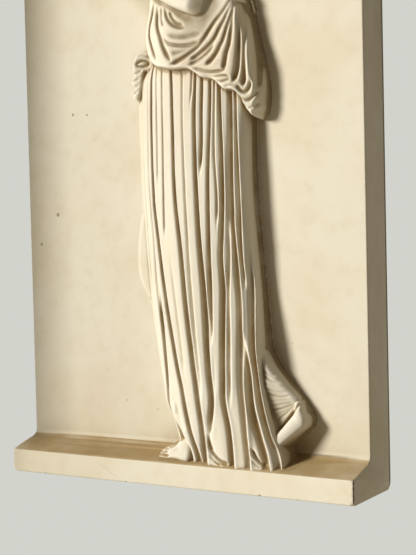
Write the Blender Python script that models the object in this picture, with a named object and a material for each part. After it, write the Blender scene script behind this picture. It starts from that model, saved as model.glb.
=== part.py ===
"""A plaster wall relief: a draped figure, its panel and the ledge it stands on, cast in one piece.

Metres, +Z up. The relief faces -Y and its flat back lies in the plane y = 0.
The origin is the middle of that back, where it is held to a wall.
"""

import bmesh
import bpy
import numpy as np

# Panel and ledge
PANEL_WIDTH = 0.420
PANEL_THICKNESS = 0.048
HEADROOM = 0.045
LEDGE_DEPTH = 0.042
LEDGE_FRONT_HEIGHT = 0.025
LEDGE_BACK_HEIGHT = 0.036
LEDGE_COVE = 0.010
LEDGE_ARRIS = 0.002

# Figure
FIGURE_HEIGHT = 0.740
HEM_SETBACK = 0.0025

# How finely the carving is worked out, and how much of it the solid keeps
CARVING_STEP = 0.001
COLUMN_WIDTH = 0.0016
ROW_HEIGHT = 0.0028
PLAIN_COLUMN_WIDTH = 0.020
TRIANGLES = 9600

PLASTER = (0.80, 0.70, 0.52)

PANEL_HEIGHT = LEDGE_FRONT_HEIGHT + FIGURE_HEIGHT + HEADROOM

# The figure is drawn in millimetres, 740 mm tall, on a sheet 420 mm wide whose soles line is at z = 25.
# x runs from the sheet's left side, z upwards, and a height is how far a form stands out from the panel.
DRAWN_HEIGHT = 740.0
DRAWN_MIDDLE = 210.0
DRAWN_SOLES = 25.0
SCALE = FIGURE_HEIGHT / DRAWN_HEIGHT
STEP = CARVING_STEP / SCALE
LEFT, RIGHT, LOW, HIGH = 110.0, 390.0, 0.0, 790.0
STEEPEST = 7.0

# A form may reach this far out at the hem
HEM_OUT = (LEDGE_DEPTH - HEM_SETBACK) / SCALE

xs = np.arange(LEFT, RIGHT + STEP / 2, STEP)
zs = np.arange(LOW, HIGH + STEP / 2, STEP)
X, Z = np.meshgrid(xs, zs)


# Carving tools

def ease(t):
    """0 to 1 with soft ends."""
    t = np.clip(t, 0, 1)
    return t * t * (3 - 2 * t)


def between(z, *stations):
    """A value that changes smoothly with height, through (z, value) stations, without overshoot."""
    heights, values = np.array(sorted(stations), float).T
    steps = np.diff(heights)
    rates = np.diff(values) / steps
    slopes = np.concatenate([rates[:1], np.zeros(len(rates) - 1), rates[-1:]])
    for k in range(1, len(rates)):
        before, after = rates[k - 1], rates[k]
        if before * after > 0:
            slopes[k] = (steps[k - 1] + steps[k]) / (steps[k] / before + steps[k - 1] / after)
    z = np.clip(z, heights[0], heights[-1])
    k = np.clip(np.searchsorted(heights, z, side="right") - 1, 0, len(rates) - 1)
    t = (z - heights[k]) / steps[k]
    return (
        (1 + 2 * t) * (1 - t) ** 2 * values[k]
        + t * (1 - t) ** 2 * steps[k] * slopes[k]
        + t * t * (3 - 2 * t) * values[k + 1]
        + t * t * (t - 1) * steps[k] * slopes[k + 1]
    )


def smooth_line(points, closed=False, per_span=8):
    """Points along a Catmull-Rom curve through the given ones."""
    p = np.array(points, float)
    if closed:
        p = np.vstack([p[-1:], p, p[:2]])
    else:
        p = np.vstack([2 * p[0] - p[1], p, 2 * p[-1] - p[-2]])
    t = (np.arange(per_span) / per_span)[:, None]
    spans = [
        0.5 * (2 * b + (c - a) * t + (2 * a - 5 * b + 4 * c - d) * t**2 + (3 * b - a - 3 * c + d) * t**3)
        for a, b, c, d in zip(p[:-3], p[1:-2], p[2:-1], p[3:])
    ]
    return np.vstack(spans if closed else spans + [p[-2:-1]])


def window(line, reach):
    """The part of the sheet within reach of a line, as two slices."""
    corner = np.array([LEFT, LOW])
    first = np.clip(((line.min(axis=0) - reach - corner) / STEP).astype(int), 0, None)
    last = np.clip(((line.max(axis=0) + reach - corner) / STEP).astype(int) + 2, 0, None)
    return slice(first[1], last[1]), slice(first[0], last[0])


def near_line(x, z, line, closed=False):
    """How far each point is from a line, and how far along the line it lies, 0 to 1."""
    ends = np.roll(line, -1, axis=0)
    starts = line
    if not closed:
        starts, ends = starts[:-1], ends[:-1]
    lengths = np.hypot(*(ends - starts).T)
    travelled = np.concatenate([[0.0], np.cumsum(lengths)])
    nearest = np.full(x.shape, 1e9)
    along = np.zeros(x.shape)
    for (ax, az), (bx, bz), length, so_far in zip(starts, ends, lengths, travelled):
        share = ((x - ax) * (bx - ax) + (z - az) * (bz - az)) / max(length * length, 1e-9)
        share = np.clip(share, 0, 1)
        away = np.hypot(x - ax - share * (bx - ax), z - az - share * (bz - az))
        closer = away < nearest
        nearest = np.where(closer, away, nearest)
        along = np.where(closer, so_far + share * length, along)
    return nearest, along / travelled[-1]


def depth_inside(x, z, line):
    """How far inside a closed line each point lies, negative outside it."""
    away, _ = near_line(x, z, line, closed=True)
    odd = np.zeros(x.shape, bool)
    for (ax, az), (bx, bz) in zip(line, np.roll(line, -1, axis=0)):
        if az != bz:
            odd ^= ((az > z) != (bz > z)) & (x < ax + (z - az) / (bz - az) * (bx - ax))
    return np.where(odd, away, -away)


def swell(layer, outline, height, shoulder, edge=0.0, steepest=STEEPEST):
    """Raises a rounded form inside an outline: from its edge height to its full height over a shoulder."""
    line = smooth_line(outline, closed=True)
    part = window(line, 2 * STEP)
    x, z = X[part], Z[part]
    inner = depth_inside(x, z, line)
    share = 1 - np.clip(inner / shoulder, 0, 1)
    top = height(x, z) if callable(height) else height
    low = edge(x, z) if callable(edge) else edge
    form = low + (top - low) * np.sqrt(1 - share**2)
    form = np.minimum(form, np.clip(inner, 0, None) * steepest)
    layer[part] = np.where(inner > 0, np.maximum(layer[part], form), layer[part])


def limb(layer, start, end, radii, depths, squash=1.0, steepest=STEEPEST):
    """Raises a round limb between two joints, with a radius and an axis depth at each."""
    joints = np.array([start, end], float)
    part = window(joints, max(radii) + STEP)
    x, z = X[part], Z[part]
    away, share = near_line(x, z, joints)
    radius = radii[0] + (radii[1] - radii[0]) * share
    axis = depths[0] + (depths[1] - depths[0]) * share
    inner = np.clip(radius - away, 0, None)
    form = axis + squash * np.sqrt(np.clip(radius**2 - away**2, 0, None))
    form = np.minimum(form, inner * steepest)
    layer[part] = np.where(inner > 0, np.maximum(layer[part], form), layer[part])


# A fold is a narrow crease, which takes this share of its depth, in a hollow this much wider than the crease
CREASE_SHARE = 0.5
CREASE_REACH = 1.9


def fold(layer, points, depth, half, fades=(0.15, 0.12)):
    """Cuts a fold's groove along a smooth line, or raises a ridge where the depth is negative."""
    line = smooth_line(points)
    crease = CREASE_SHARE if depth > 0 else 1
    part = window(line, half * CREASE_REACH + STEP)
    away, share = near_line(X[part], Z[part], line)
    fade = np.ones(share.shape)
    if fades[0]:
        fade = fade * ease(share / fades[0])
    if fades[1]:
        fade = fade * ease((1 - share) / fades[1])
    t = away / half
    section = crease * np.clip(1 - t * t, 0, None) ** 1.5
    section += (1 - crease) * np.clip(1 - t / CREASE_REACH, 0, None) ** 2
    layer[part] = np.where(layer[part] > 0.5, layer[part] - depth * fade * section, layer[part])


def softened(layer, spread):
    """The same heights with every edge rounded over the given distance."""
    reach = max(1, round(3 * spread / STEP))
    weights = np.exp(-0.5 * (np.arange(-reach, reach + 1) * STEP / spread) ** 2)
    weights /= weights.sum()
    for axis in (0, 1):
        padding = [(0, 0), (0, 0)]
        padding[axis] = (reach, reach)
        wide = np.pad(layer, padding, mode="edge")
        count = layer.shape[axis]
        layer = sum(
            weight * np.take(wide, np.arange(k, k + count), axis=axis) for k, weight in enumerate(weights)
        )
    return layer


# Skirt

def skirt_left(z):
    return between(
        z, (500, 196), (470, 188), (450, 180), (425, 159), (350, 156.5), (250, 161), (200, 165), (150, 172),
        (100, 181), (75, 191), (58, 205), (24, 221),
    )


def skirt_right(z):
    return between(
        z, (500, 301), (340, 300), (300, 301), (250, 305), (200, 309), (150, 312.5), (100, 315.5), (80, 318.5),
        (60, 324), (24, 338),
    )


def skirt_depth(z):
    return between(
        z, (500, 25), (430, 25), (320, 30), (220, 30.5), (150, 32), (90, 35), (DRAWN_SOLES, HEM_OUT)
    )


# The skirt's right side: how much its gentle flank drops, where that starts, and how wide the steep turn is
FLANK_DROP = 7.0
FLANK_START = 98.0
TURN_WIDTH = 8.0


def skirt_body(x, z):
    """The skirt before its folds: a slow rise from the left, a gentle flank, and a steep turn at the right."""
    left, right = skirt_left(z), skirt_right(z)
    rise = 1 - np.clip(1 - (x - left) / (0.58 * (right - left)), 0, 1) ** 2
    rise = rise ** between(z, (400, 0.78), (120, 0.72), (80, 0.42), (60, 0.22), (45, 0.12), (24, 0.12))
    flank = FLANK_DROP * np.clip((x - left - FLANK_START) / (right - left - FLANK_START), 0, 1) ** 1.5
    turn = np.sqrt(1 - np.clip((x - right + TURN_WIDTH) / TURN_WIDTH, 0, 1) ** 1.7)
    inner = np.clip(np.minimum(x - left, right - x), 0, None)
    form = (skirt_depth(z) * rise - flank) * turn
    wall = inner * between(z, (110, STEEPEST), (60, 3 * STEEPEST))
    return np.where(z < 475, np.clip(np.minimum(form, wall), 0, None), 0)


# Each pleat's groove: x at four heights, from which z down to which z it runs, its depth and its half width
PLEAT_HEIGHTS = (400, 260, 120, 30)
PLEATS = (
    ((163.5, 168.5, 175, 182), 470, 200, 0.8, 2.6),
    ((174, 179, 192, 200), 470, 150, 1.4, 2.6),
    ((176, 181.5, 191.5, 226), 225, 10, 5.2, 4.2),
    ((180, 187.6, 211.8, 237), 470, 10, 5.0, 4.0),
    ((188.7, 192, 205, 220), 470, 305, 2.4, 2.4),
    ((198, 199.5, 221, 240), 470, 252, 2.6, 2.6),
    ((204, 205.5, 222, 240), 262, 108, 1.2, 2.6),
    ((211.5, 219.8, 237.2, 251), 470, 10, 5.2, 4.0),
    ((226, 231.2, 243, 258), 470, 84, 2.0, 2.8),
    ((235, 236, 240, 250), 470, 386, 2.6, 2.4),
    ((240.3, 245.2, 255.5, 256), 470, 50, 5.8, 4.4),
    ((249.4, 248, 250, 250), 470, 319, 4.0, 3.4),
    ((258.8, 256.6, 259, 262), 470, 144, 4.2, 3.6),
    ((263.5, 269, 262.5, 266), 155, 84, 1.2, 2.4),
    ((264.3, 266.8, 270, 272), 470, 262, 2.8, 2.4),
    ((269.8, 271.8, 275.5, 285), 470, 10, 5.8, 4.4),
    ((277.5, 280, 280, 290), 470, 82, 2.6, 3.2),
    ((282.6, 285.5, 292.5, 303.5), 470, 10, 4.8, 4.2),
    ((287.8, 292.5, 304, 321), 470, 200, 3.6, 3.2),
    ((285, 290, 299.5, 318), 178, 10, 5.4, 4.2),
    ((290, 299.2, 308.8, 329), 262, 10, 4.0, 3.4),
)
# No pleat cuts deeper than this share of the cloth's depth
DEEPEST_PLEAT = 0.6


def add_skirt(relief):
    body = skirt_body(X, Z)
    cut = np.zeros(body.shape)
    for places, top, foot, depth, half in PLEATS:
        middle = np.polyval(np.polyfit(PLEAT_HEIGHTS, places, 3), np.minimum(zs, 430))[:, None]
        fade = ease((zs - foot) / 25) * ease((top - zs) / 12)
        if foot < DRAWN_SOLES:
            fade = ease((top - zs) / 12)
        cut += depth * fade[:, None] * np.clip(1 - ((xs - middle) / half) ** 2, 0, None) ** 1.5
    np.maximum(relief, body - np.minimum(cut, DEEPEST_PLEAT * body), out=relief)


# Mantle, slung round the waist and gathered at the right hip

def mantle_right(z):
    return between(
        z, (520, 296), (495, 299.5), (480, 303), (460, 308), (440, 312.5), (420, 316.5), (405, 318.5), (390, 317.5),
        (378, 312),
    )


# How wide the mantle's steep turn at the hip is, and how far the cloth has already dropped before it
MANTLE_TURN = 9.0
HIP_DROP = 6.0


def mantle_height(x, z):
    rise = 6 + 27.5 * np.sin(np.pi / 2 * np.clip((x - 167) / 48, 0, 1))
    hip = 4 * ease((x - 214) / 50) + HIP_DROP * ease((x - 284) / 24)
    fall = 20 * np.clip(1 - (mantle_right(z) - x) / MANTLE_TURN, 0, 1) ** 1.2
    return rise - hip - fall + 2.0 * np.exp(-(((z - 430) / 25) ** 2))


def mantle_edge(x, z):
    return np.maximum(mantle_height(x, z) - 3.4, 1.5)


MANTLE_OUTLINE = (
    (184, 514), (174.5, 496), (168.5, 479), (168, 463), (174.5, 450), (187, 440.5), (202, 435.5), (219.5, 432),
    (236, 431.5), (244.5, 426.5), (252.5, 421.5), (265, 418.5), (270.5, 413.5), (278, 407.5), (287, 406.5),
    (293, 400.5), (298, 389.5), (303.5, 381.5), (309, 377.5), (313.5, 381), (317, 390), (318.5, 404),
    (316.5, 421), (312.5, 441), (308, 461), (303, 481), (299.5, 497), (296, 514), (245, 522),
)
# Strokes as points, depth and half width. The long ones fan out from the knot on the hip.
MANTLE_FOLDS = (
    (((290, 499), (266, 472), (236, 446.5), (217, 438)), 4.2, 2.8),
    (((291, 498), (271.5, 464.5), (242, 439.5), (224, 433)), 4.0, 2.6),
    (((291.5, 497), (275, 456), (262.5, 441.5), (245, 431.5)), 3.8, 2.6),
    (((292, 497), (288, 472), (270, 437.5), (255, 429)), 3.6, 2.4),
    (((292.5, 496), (290, 470), (277, 435), (268, 425.5)), 3.6, 2.4),
    (((293, 496), (292.5, 472), (287, 438), (281.5, 425)), 3.4, 2.4),
    (((294, 496), (297, 445), (293, 409)), 5.0, 3.0),
    (((294.6, 496), (301.5, 450), (305, 413)), 4.6, 2.8),
    (((295.3, 495), (307, 444), (312, 402)), 3.6, 2.6),
    (((296, 494), (311, 446), (316, 408)), 2.8, 2.2),
    (((189, 507), (179, 475), (187, 450), (196, 441)), 5.4, 3.2),
    (((200.5, 503), (198, 481), (207.5, 454.5), (218.5, 440)), 5.0, 3.4),
    (((214, 494), (216, 483), (228, 475.5)), 3.2, 2.4),
    (((207.5, 467.5), (214, 459.5), (227, 456.5), (243, 457.5)), 3.2, 2.6),
    (((293, 414), (296.5, 407), (301.5, 405), (307.5, 418)), 4.0, 2.2),
    (((293.5, 403), (299, 397.5), (305, 397), (312.5, 409)), 3.8, 2.2),
    (((297.5, 394.5), (303, 389.5), (309, 389.5), (313.5, 396)), 3.2, 2.0),
    (((241, 434), (252, 430.5), (275, 427.3), (284.5, 428.5)), 3.0, 2.4),
    (((268, 416.5), (279, 417.2), (289, 419.5)), 2.6, 2.0),
)


def add_mantle(relief):
    cloth = np.zeros(X.shape)
    swell(cloth, MANTLE_OUTLINE, mantle_height, 6, edge=mantle_edge, steepest=3 * STEEPEST)
    for points, depth, half in MANTLE_FOLDS:
        fold(cloth, points, depth, half)
    np.maximum(relief, softened(cloth, 0.7), out=relief)


def mantle_end_height(x, z):
    return 9.5 - 0.35 * np.clip(x - 158, 0, 14)


def add_mantle_end(relief):
    """The mantle's other end, which hangs in zigzags behind the figure."""
    cloth = np.zeros(X.shape)
    outline = (
        (154.5, 450), (158.5, 457), (168, 460), (180, 457), (188, 448), (186, 437), (176, 436), (168, 438),
        (166, 430), (165, 421), (162, 409), (158, 406.5), (152.5, 410), (150.5, 415), (153.5, 420.5), (149.5, 427),
        (153, 433), (151.5, 441),
    )
    swell(cloth, outline, mantle_end_height, 4, edge=3.5)
    fold(cloth, ((159, 446.5), (164, 449.5), (171, 447), (166, 443.5), (160, 444.5)), 3.4, 2.2, fades=(0, 0))
    fold(cloth, ((152, 442), (158, 439), (166, 439)), 2.0, 1.8)
    for z, reach in ((434, 15), (427, 14), (420, 13), (413, 11)):
        fold(cloth, ((150, z), (150 + 0.4 * reach, z + 1), (150 + reach, z + 5)), 2.4, 2.0, fades=(0, 0.4))
    np.maximum(relief, cloth, out=relief)


# Legs and feet

def add_far_knee(relief):
    """The far leg under its drapery, barely raised from the panel."""
    outline = (
        (166, 318), (158, 292), (152.5, 268), (150, 243), (150.5, 222), (156, 206), (164, 194), (172, 184),
        (190, 190), (190, 318),
    )
    swell(relief, outline, 3.4, 9, edge=1.7, steepest=1.6)


def calf_height(x, z):
    return between(z, (160, 15), (120, 13), (90, 12.5), (60, 12)) + 0.15 * np.clip(x - 316, 0, 24)


ANKLE = (343.0, 92.0)
ANKLE_FOLDS = 7


def add_rear_leg(relief):
    """The leg left behind: drapery that the step pulls tight, gathered at the ankle, and the raised heel."""
    cloth = np.zeros(X.shape)
    outline = (
        (300, 176), (307, 160), (311, 150), (316, 138), (322, 127), (329, 116.5), (336, 108), (343, 100),
        (347, 92), (343, 84), (334, 72), (326, 62), (316, 60), (304, 90),
    )
    swell(cloth, outline, calf_height, 3.5, edge=8)
    for number in range(ANKLE_FOLDS):
        left_to_go = (1 - number / (ANKLE_FOLDS - 1)) ** 3
        start = (304 + 1.6 * number, 127 - 9.5 * number)
        end = (ANKLE[0] - 19 * left_to_go, ANKLE[1] + 28 * left_to_go)
        middle = (0.5 * (start[0] + end[0]), 0.5 * (start[1] + end[1]) - 1.6)
        fold(cloth, (start, middle, end), 1.6, 2.4, fades=(0, 0.1))
    heel = (
        (342, 100), (350, 97), (358, 89), (363, 80), (363, 72), (358, 66), (349, 60.5), (339, 54), (331, 48),
        (318, 44), (316, 60), (326, 72), (334, 84),
    )
    swell(cloth, heel, 17.5, 17, edge=8)
    fold(cloth, ((319, 60), (328, 71), (338, 84), (346, 95)), 3.4, 2.0, fades=(0, 0))
    np.maximum(relief, cloth, out=relief)


def foot_height(x, z):
    return 27 + 0.12 * np.clip(x - 191, 0, 30) - 0.1 * np.clip(z - 30, 0, 20)


def add_front_foot(relief):
    """A foot on the ledge with its toes to the left, mostly under the hem."""
    outline = (
        (198, 28), (198, 34), (201, 40), (207, 45), (213, 49), (220, 55), (230, 50), (232, 26), (214, 25.5),
        (203, 25.5),
    )
    swell(relief, outline, foot_height, 5, edge=20, steepest=6 * STEEPEST)
    for toe in range(5):
        tip = (191.5 + 0.5 * toe**2, 29 + 3.3 * toe)
        limb(relief, (tip[0] + 14, tip[1] + 2), tip, (3.0, 2.6), (28.5, 26.5), steepest=6 * STEEPEST)


# Upper body, which is plainer

def torso_height(x, z):
    return between(z, (490, 27), (540, 27), (585, 31), (620, 27), (656, 18))


def add_torso(relief):
    cloth = np.zeros(X.shape)
    outline = (
        (197, 470), (194, 515), (191, 540), (189, 562), (186, 580), (188, 597), (195, 614), (206, 630), (218, 643),
        (224, 656), (262, 656), (274, 646), (285, 632), (292, 612), (295, 585), (294, 555), (294, 525), (297, 470),
    )
    swell(cloth, outline, torso_height, 34, edge=3)
    for k in range(5):
        top = 206 + 9 * k
        bust = (top - 5 + k, 592)
        fold(cloth, ((top, 636), bust, (top - 5 + 0.5 * k, 555), (top - 4, 515)), 2.4, 3.2)
    fold(cloth, ((288, 600), (286, 570), (285, 540), (288, 510)), 2.0, 3.0)
    np.maximum(relief, cloth, out=relief)


def add_arm(relief):
    """The near arm: a short sleeve, a bare arm bent at the waist, and a hand with its fingers bent."""
    limb(relief, (265, 626), (261, 560), (23, 21), (14, 20), squash=0.95)
    limb(relief, (262, 580), (262, 512), (16.5, 17), (21, 16))
    arm = np.zeros(X.shape)
    outline = (
        (190, 510.5), (204, 501), (220, 491.5), (238, 483.5), (252, 479.5), (266, 484), (277, 496), (280, 512),
        (276, 526), (262, 530), (236, 528), (200, 536), (176, 541), (166, 538), (164, 528), (174, 519),
    )
    swell(arm, outline, elbow_height, 15, edge=14)
    np.maximum(relief, softened(arm, 1.5), out=relief)
    limb(relief, (170, 532), (153, 540), (11, 12.5), (30, 29), squash=0.8)
    for finger in range(4):
        knuckle = (150 + 1.5 * finger, 548 - 6.2 * finger)
        tip = (knuckle[0] - 17 + 2 * abs(finger - 1.3), knuckle[1] - 3)
        limb(relief, knuckle, tip, (3.6, 3.3), (31.5, 29))
    limb(relief, (160, 546), (141, 553), (4.2, 3.6), (33, 31))


def elbow_height(x, z):
    """The forearm stands furthest out; past the elbow's sharp turn the surface falls back."""
    lean = x - 0.45 * (z - 485)
    return between(lean, (160, 41), (215, 44), (242, 45.5), (248, 42), (257, 34), (275, 26))


# Head in profile. Its points are shares of the head's height, from the chin and the line of the face.
HEAD_HEIGHT = 98.0
CHIN = (194.0, 672.0)


def on_head(*points):
    return tuple((CHIN[0] + HEAD_HEIGHT * across, CHIN[1] + HEAD_HEIGHT * up) for across, up in points)


def add_head(relief):
    neck = ((224, 636), (227, 655), (227, 674), (224, 692), (264, 700), (261, 682), (262, 662), (268, 640))
    swell(relief, neck, 22, 18, edge=4)
    face = np.zeros(X.shape)
    swell(
        face,
        on_head(
            (0.10, -0.005), (0.04, 0.045), (0.055, 0.115), (0.03, 0.16), (0.048, 0.19), (0.022, 0.22),
            (0.035, 0.275), (-0.062, 0.315), (-0.02, 0.41), (0.02, 0.50), (0.008, 0.57), (0.02, 0.68), (0.06, 0.80),
            (0.14, 0.92), (0.36, 1.0), (0.62, 0.96), (0.80, 0.82), (0.86, 0.62), (0.80, 0.42), (0.66, 0.24),
            (0.46, 0.14), (0.26, 0.06),
        ),
        31, 32, edge=2,
    )
    # Brow, eye, nostril, lips and ear
    fold(face, on_head((0.035, 0.535), (0.10, 0.548), (0.20, 0.535)), -1.6, 3.4)
    fold(face, on_head((0.05, 0.50), (0.10, 0.505), (0.17, 0.49)), 4.0, 4.6)
    limb(face, *on_head((0.095, 0.487), (0.115, 0.487)), (4.0, 4.2), (7.0, 8.5))
    fold(face, on_head((0.045, 0.29), (0.03, 0.32), (0.015, 0.345)), -2.0, 2.4)
    fold(face, on_head((0.03, 0.19), (0.075, 0.192), (0.115, 0.185)), 1.8, 1.8, fades=(0, 0.4))
    hair = np.zeros(X.shape)
    swell(
        hair,
        on_head(
            (0.05, 0.79), (0.15, 0.93), (0.36, 1.02), (0.62, 0.98), (0.82, 0.84), (0.885, 0.62), (0.82, 0.42),
            (0.70, 0.30), (0.60, 0.34), (0.52, 0.46), (0.40, 0.56), (0.30, 0.66), (0.16, 0.74),
        ),
        34, 26, edge=7,
    )
    swell(
        hair,
        on_head((0.84, 0.44), (0.78, 0.56), (0.82, 0.70), (0.94, 0.74), (1.04, 0.66), (1.05, 0.54), (0.96, 0.44)),
        22, 13, edge=5,
    )
    for lock in range(6):
        a = 0.16 + 0.13 * lock
        points = on_head(
            (a, 0.985 - 0.9 * (a - 0.4) ** 2), (a + 0.03, 0.84 - 0.02 * lock), (a + 0.10, 0.66 - 0.02 * lock),
            (a + 0.22, 0.52 - 0.01 * lock),
        )
        fold(hair, points, 2.0, 2.6)
    np.maximum(relief, face, out=relief)
    np.maximum(relief, hair, out=relief)
    fold(relief, on_head((0.44, 0.50), (0.50, 0.50), (0.52, 0.44), (0.48, 0.38), (0.45, 0.34)), -3.0, 2.6)


def carved_figure():
    """How far the figure stands out from the panel over the whole sheet, in drawn millimetres."""
    relief = np.zeros(X.shape)
    add_far_knee(relief)
    add_mantle_end(relief)
    add_rear_leg(relief)
    add_front_foot(relief)
    add_skirt(relief)
    add_torso(relief)
    add_head(relief)
    add_mantle(relief)
    add_arm(relief)
    return softened(relief, 0.8)


# Solid

def rounded(before, corner, after, radius, steps=6):
    """Points of the arc that rounds a profile's corner."""
    before, corner, after = (np.array(point, float) for point in (before, corner, after))
    first = (before - corner) / np.hypot(*(before - corner))
    second = (after - corner) / np.hypot(*(after - corner))
    half_angle = np.arccos(np.clip(first @ second, -1, 1)) / 2
    middle = corner + (first + second) / np.hypot(*(first + second)) * radius / np.sin(half_angle)
    start = corner + first * radius / np.tan(half_angle) - middle
    end = corner + second * radius / np.tan(half_angle) - middle
    turn = np.arccos(np.clip(start @ end / radius**2, -1, 1))
    shares = np.linspace(0, 1, steps + 1)
    return [
        tuple(middle + (np.sin((1 - t) * turn) * start + np.sin(t * turn) * end) / np.sin(turn))
        for t in shares
    ]


# The ledge in section, as (height, how far out), from its underside up to the panel's top
LEDGE_FOOT = (0.0, LEDGE_DEPTH)
LEDGE_LIP = (LEDGE_FRONT_HEIGHT, LEDGE_DEPTH)
LEDGE_BACK = (LEDGE_BACK_HEIGHT, 0.0)
PANEL_TOP = (PANEL_HEIGHT, 0.0)
LEDGE_SECTION = [
    LEDGE_FOOT,
    *rounded(LEDGE_FOOT, LEDGE_LIP, LEDGE_BACK, LEDGE_ARRIS),
    *rounded(LEDGE_LIP, LEDGE_BACK, PANEL_TOP, LEDGE_COVE),
    PANEL_TOP,
]


def spaced(start, end, width):
    return np.linspace(start, end, max(2, round((end - start) / width) + 1))


def grid_columns():
    """x of each column of points: close together over the figure, wide apart beside it."""
    side = PANEL_WIDTH / 2
    left = max((LEFT - DRAWN_MIDDLE) * SCALE, -side)
    right = min((RIGHT - DRAWN_MIDDLE) * SCALE, side)
    columns = [
        spaced(-side, left, PLAIN_COLUMN_WIDTH), spaced(left, right, COLUMN_WIDTH),
        spaced(right, side, PLAIN_COLUMN_WIDTH),
    ]
    return np.unique(np.round(np.concatenate(columns), 6))


def grid_rows():
    """z of each row of points above the underside: close together up the ledge's top."""
    lip = LEDGE_FRONT_HEIGHT - 2 * LEDGE_ARRIS
    back = LEDGE_BACK_HEIGHT + LEDGE_COVE
    head = LEDGE_FRONT_HEIGHT + FIGURE_HEIGHT + 2 * LEDGE_COVE
    section = np.array([height for height, _ in LEDGE_SECTION])
    rows = [
        np.array([0.0, lip / 2]), spaced(lip, back, ROW_HEIGHT / 5), section,
        spaced(back, head, ROW_HEIGHT), spaced(head, PANEL_HEIGHT, PLAIN_COLUMN_WIDTH),
    ]
    return np.unique(np.round(np.concatenate(rows), 6))


def on_sheet(sheet, x, z):
    """Reads a sheet of heights between its points, x from the middle and z above the underside."""
    across = ((x / SCALE + DRAWN_MIDDLE) - LEFT) / STEP
    up = ((z - LEDGE_FRONT_HEIGHT) / SCALE + DRAWN_SOLES - LOW) / STEP
    on = (across >= 0) & (across <= sheet.shape[1] - 1) & (up >= 0) & (up <= sheet.shape[0] - 1)
    column = np.clip(across.astype(int), 0, sheet.shape[1] - 2)
    row = np.clip(up.astype(int), 0, sheet.shape[0] - 2)
    s = np.clip(across - column, 0, 1)
    t = np.clip(up - row, 0, 1)
    lower = (1 - s) * sheet[row, column] + s * sheet[row, column + 1]
    upper = (1 - s) * sheet[row + 1, column] + s * sheet[row + 1, column + 1]
    return np.where(on, (1 - t) * lower + t * upper, 0)


def relief_face():
    """A grid primitive whose points are moved on to the carved face."""
    columns = grid_columns()
    rows = grid_rows()
    bpy.ops.mesh.primitive_grid_add(x_subdivisions=len(columns) - 1, y_subdivisions=len(rows) - 1, size=2)
    face = bpy.context.object
    flat = np.empty(len(face.data.vertices) * 3)
    face.data.vertices.foreach_get("co", flat)
    flat = flat.reshape(-1, 3)
    column = np.rint((flat[:, 0] + 1) / 2 * (len(columns) - 1)).astype(int)
    row = np.rint((flat[:, 1] + 1) / 2 * (len(rows) - 1)).astype(int)
    x = columns[column]
    z = rows[row]
    figure = on_sheet(carved_figure(), x, z) * SCALE
    ledge = np.interp(z, *zip(*LEDGE_SECTION))
    out = PANEL_THICKNESS + np.maximum(figure, ledge)
    places = np.stack([x, -out, z - PANEL_HEIGHT / 2], axis=1)
    face.data.vertices.foreach_set("co", places.ravel())
    return face


def close_to_back(face):
    """Carries the face's rim back to the wall and closes it with one flat back."""
    mesh = bmesh.new()
    mesh.from_mesh(face.data)
    rim = [edge for edge in mesh.edges if edge.is_boundary]
    sides = bmesh.ops.extrude_edge_only(mesh, edges=rim)["geom"]
    for item in sides:
        if isinstance(item, bmesh.types.BMVert):
            item.co.y = 0.0
    back_rim = [edge for edge in mesh.edges if edge.is_boundary]
    bmesh.ops.contextual_create(mesh, geom=back_rim)
    bmesh.ops.recalc_face_normals(mesh, faces=mesh.faces)
    mesh.to_mesh(face.data)
    mesh.free()


def plaster_material():
    material = bpy.data.materials.new("painted_plaster")
    material.use_nodes = True
    shader = material.node_tree.nodes["Principled BSDF"]
    shader.inputs["Base Color"].default_value = (*PLASTER, 1)
    shader.inputs["Roughness"].default_value = 0.45
    shader.inputs["Metallic"].default_value = 0.0
    return material


def main():
    for item in list(bpy.data.objects):
        bpy.data.objects.remove(item, do_unlink=True)
    collection = bpy.data.collections.new("plaster_wall_relief")
    bpy.context.scene.collection.children.link(collection)
    relief = relief_face()
    close_to_back(relief)
    relief.name = "wall_relief"
    relief.data.name = "wall_relief"
    for home in list(relief.users_collection):
        home.objects.unlink(relief)
    collection.objects.link(relief)
    relief.data.materials.append(plaster_material())
    fewer = relief.modifiers.new("fewer_faces", "DECIMATE")
    fewer.ratio = TRIANGLES / sum(len(polygon.vertices) - 2 for polygon in relief.data.polygons)
    relief.data.shade_flat()


main()
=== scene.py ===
# %% [markdown]
# # A plaster wall relief, from a measured model to a finished surface
#
# The real object is one cast of gypsum plaster: a tall panel, a ledge along its foot, and on the ledge a
# draped woman who walks to the left. It was poured into a mould, so there are no joints in it. What gives
# it life is the carving, and over the carving a thin cream paint that has aged: brown where dust settles,
# pale where hands rub.
#
# The engineering model fixes the sizes and where everything sits. This script makes the surface that is
# seen. The first cell loads that model and keeps its box, from which the sizes are taken.

# %% Load the fixed model
import math

import bmesh
import bpy
import numpy as np
from mathutils import Matrix, Vector


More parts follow.
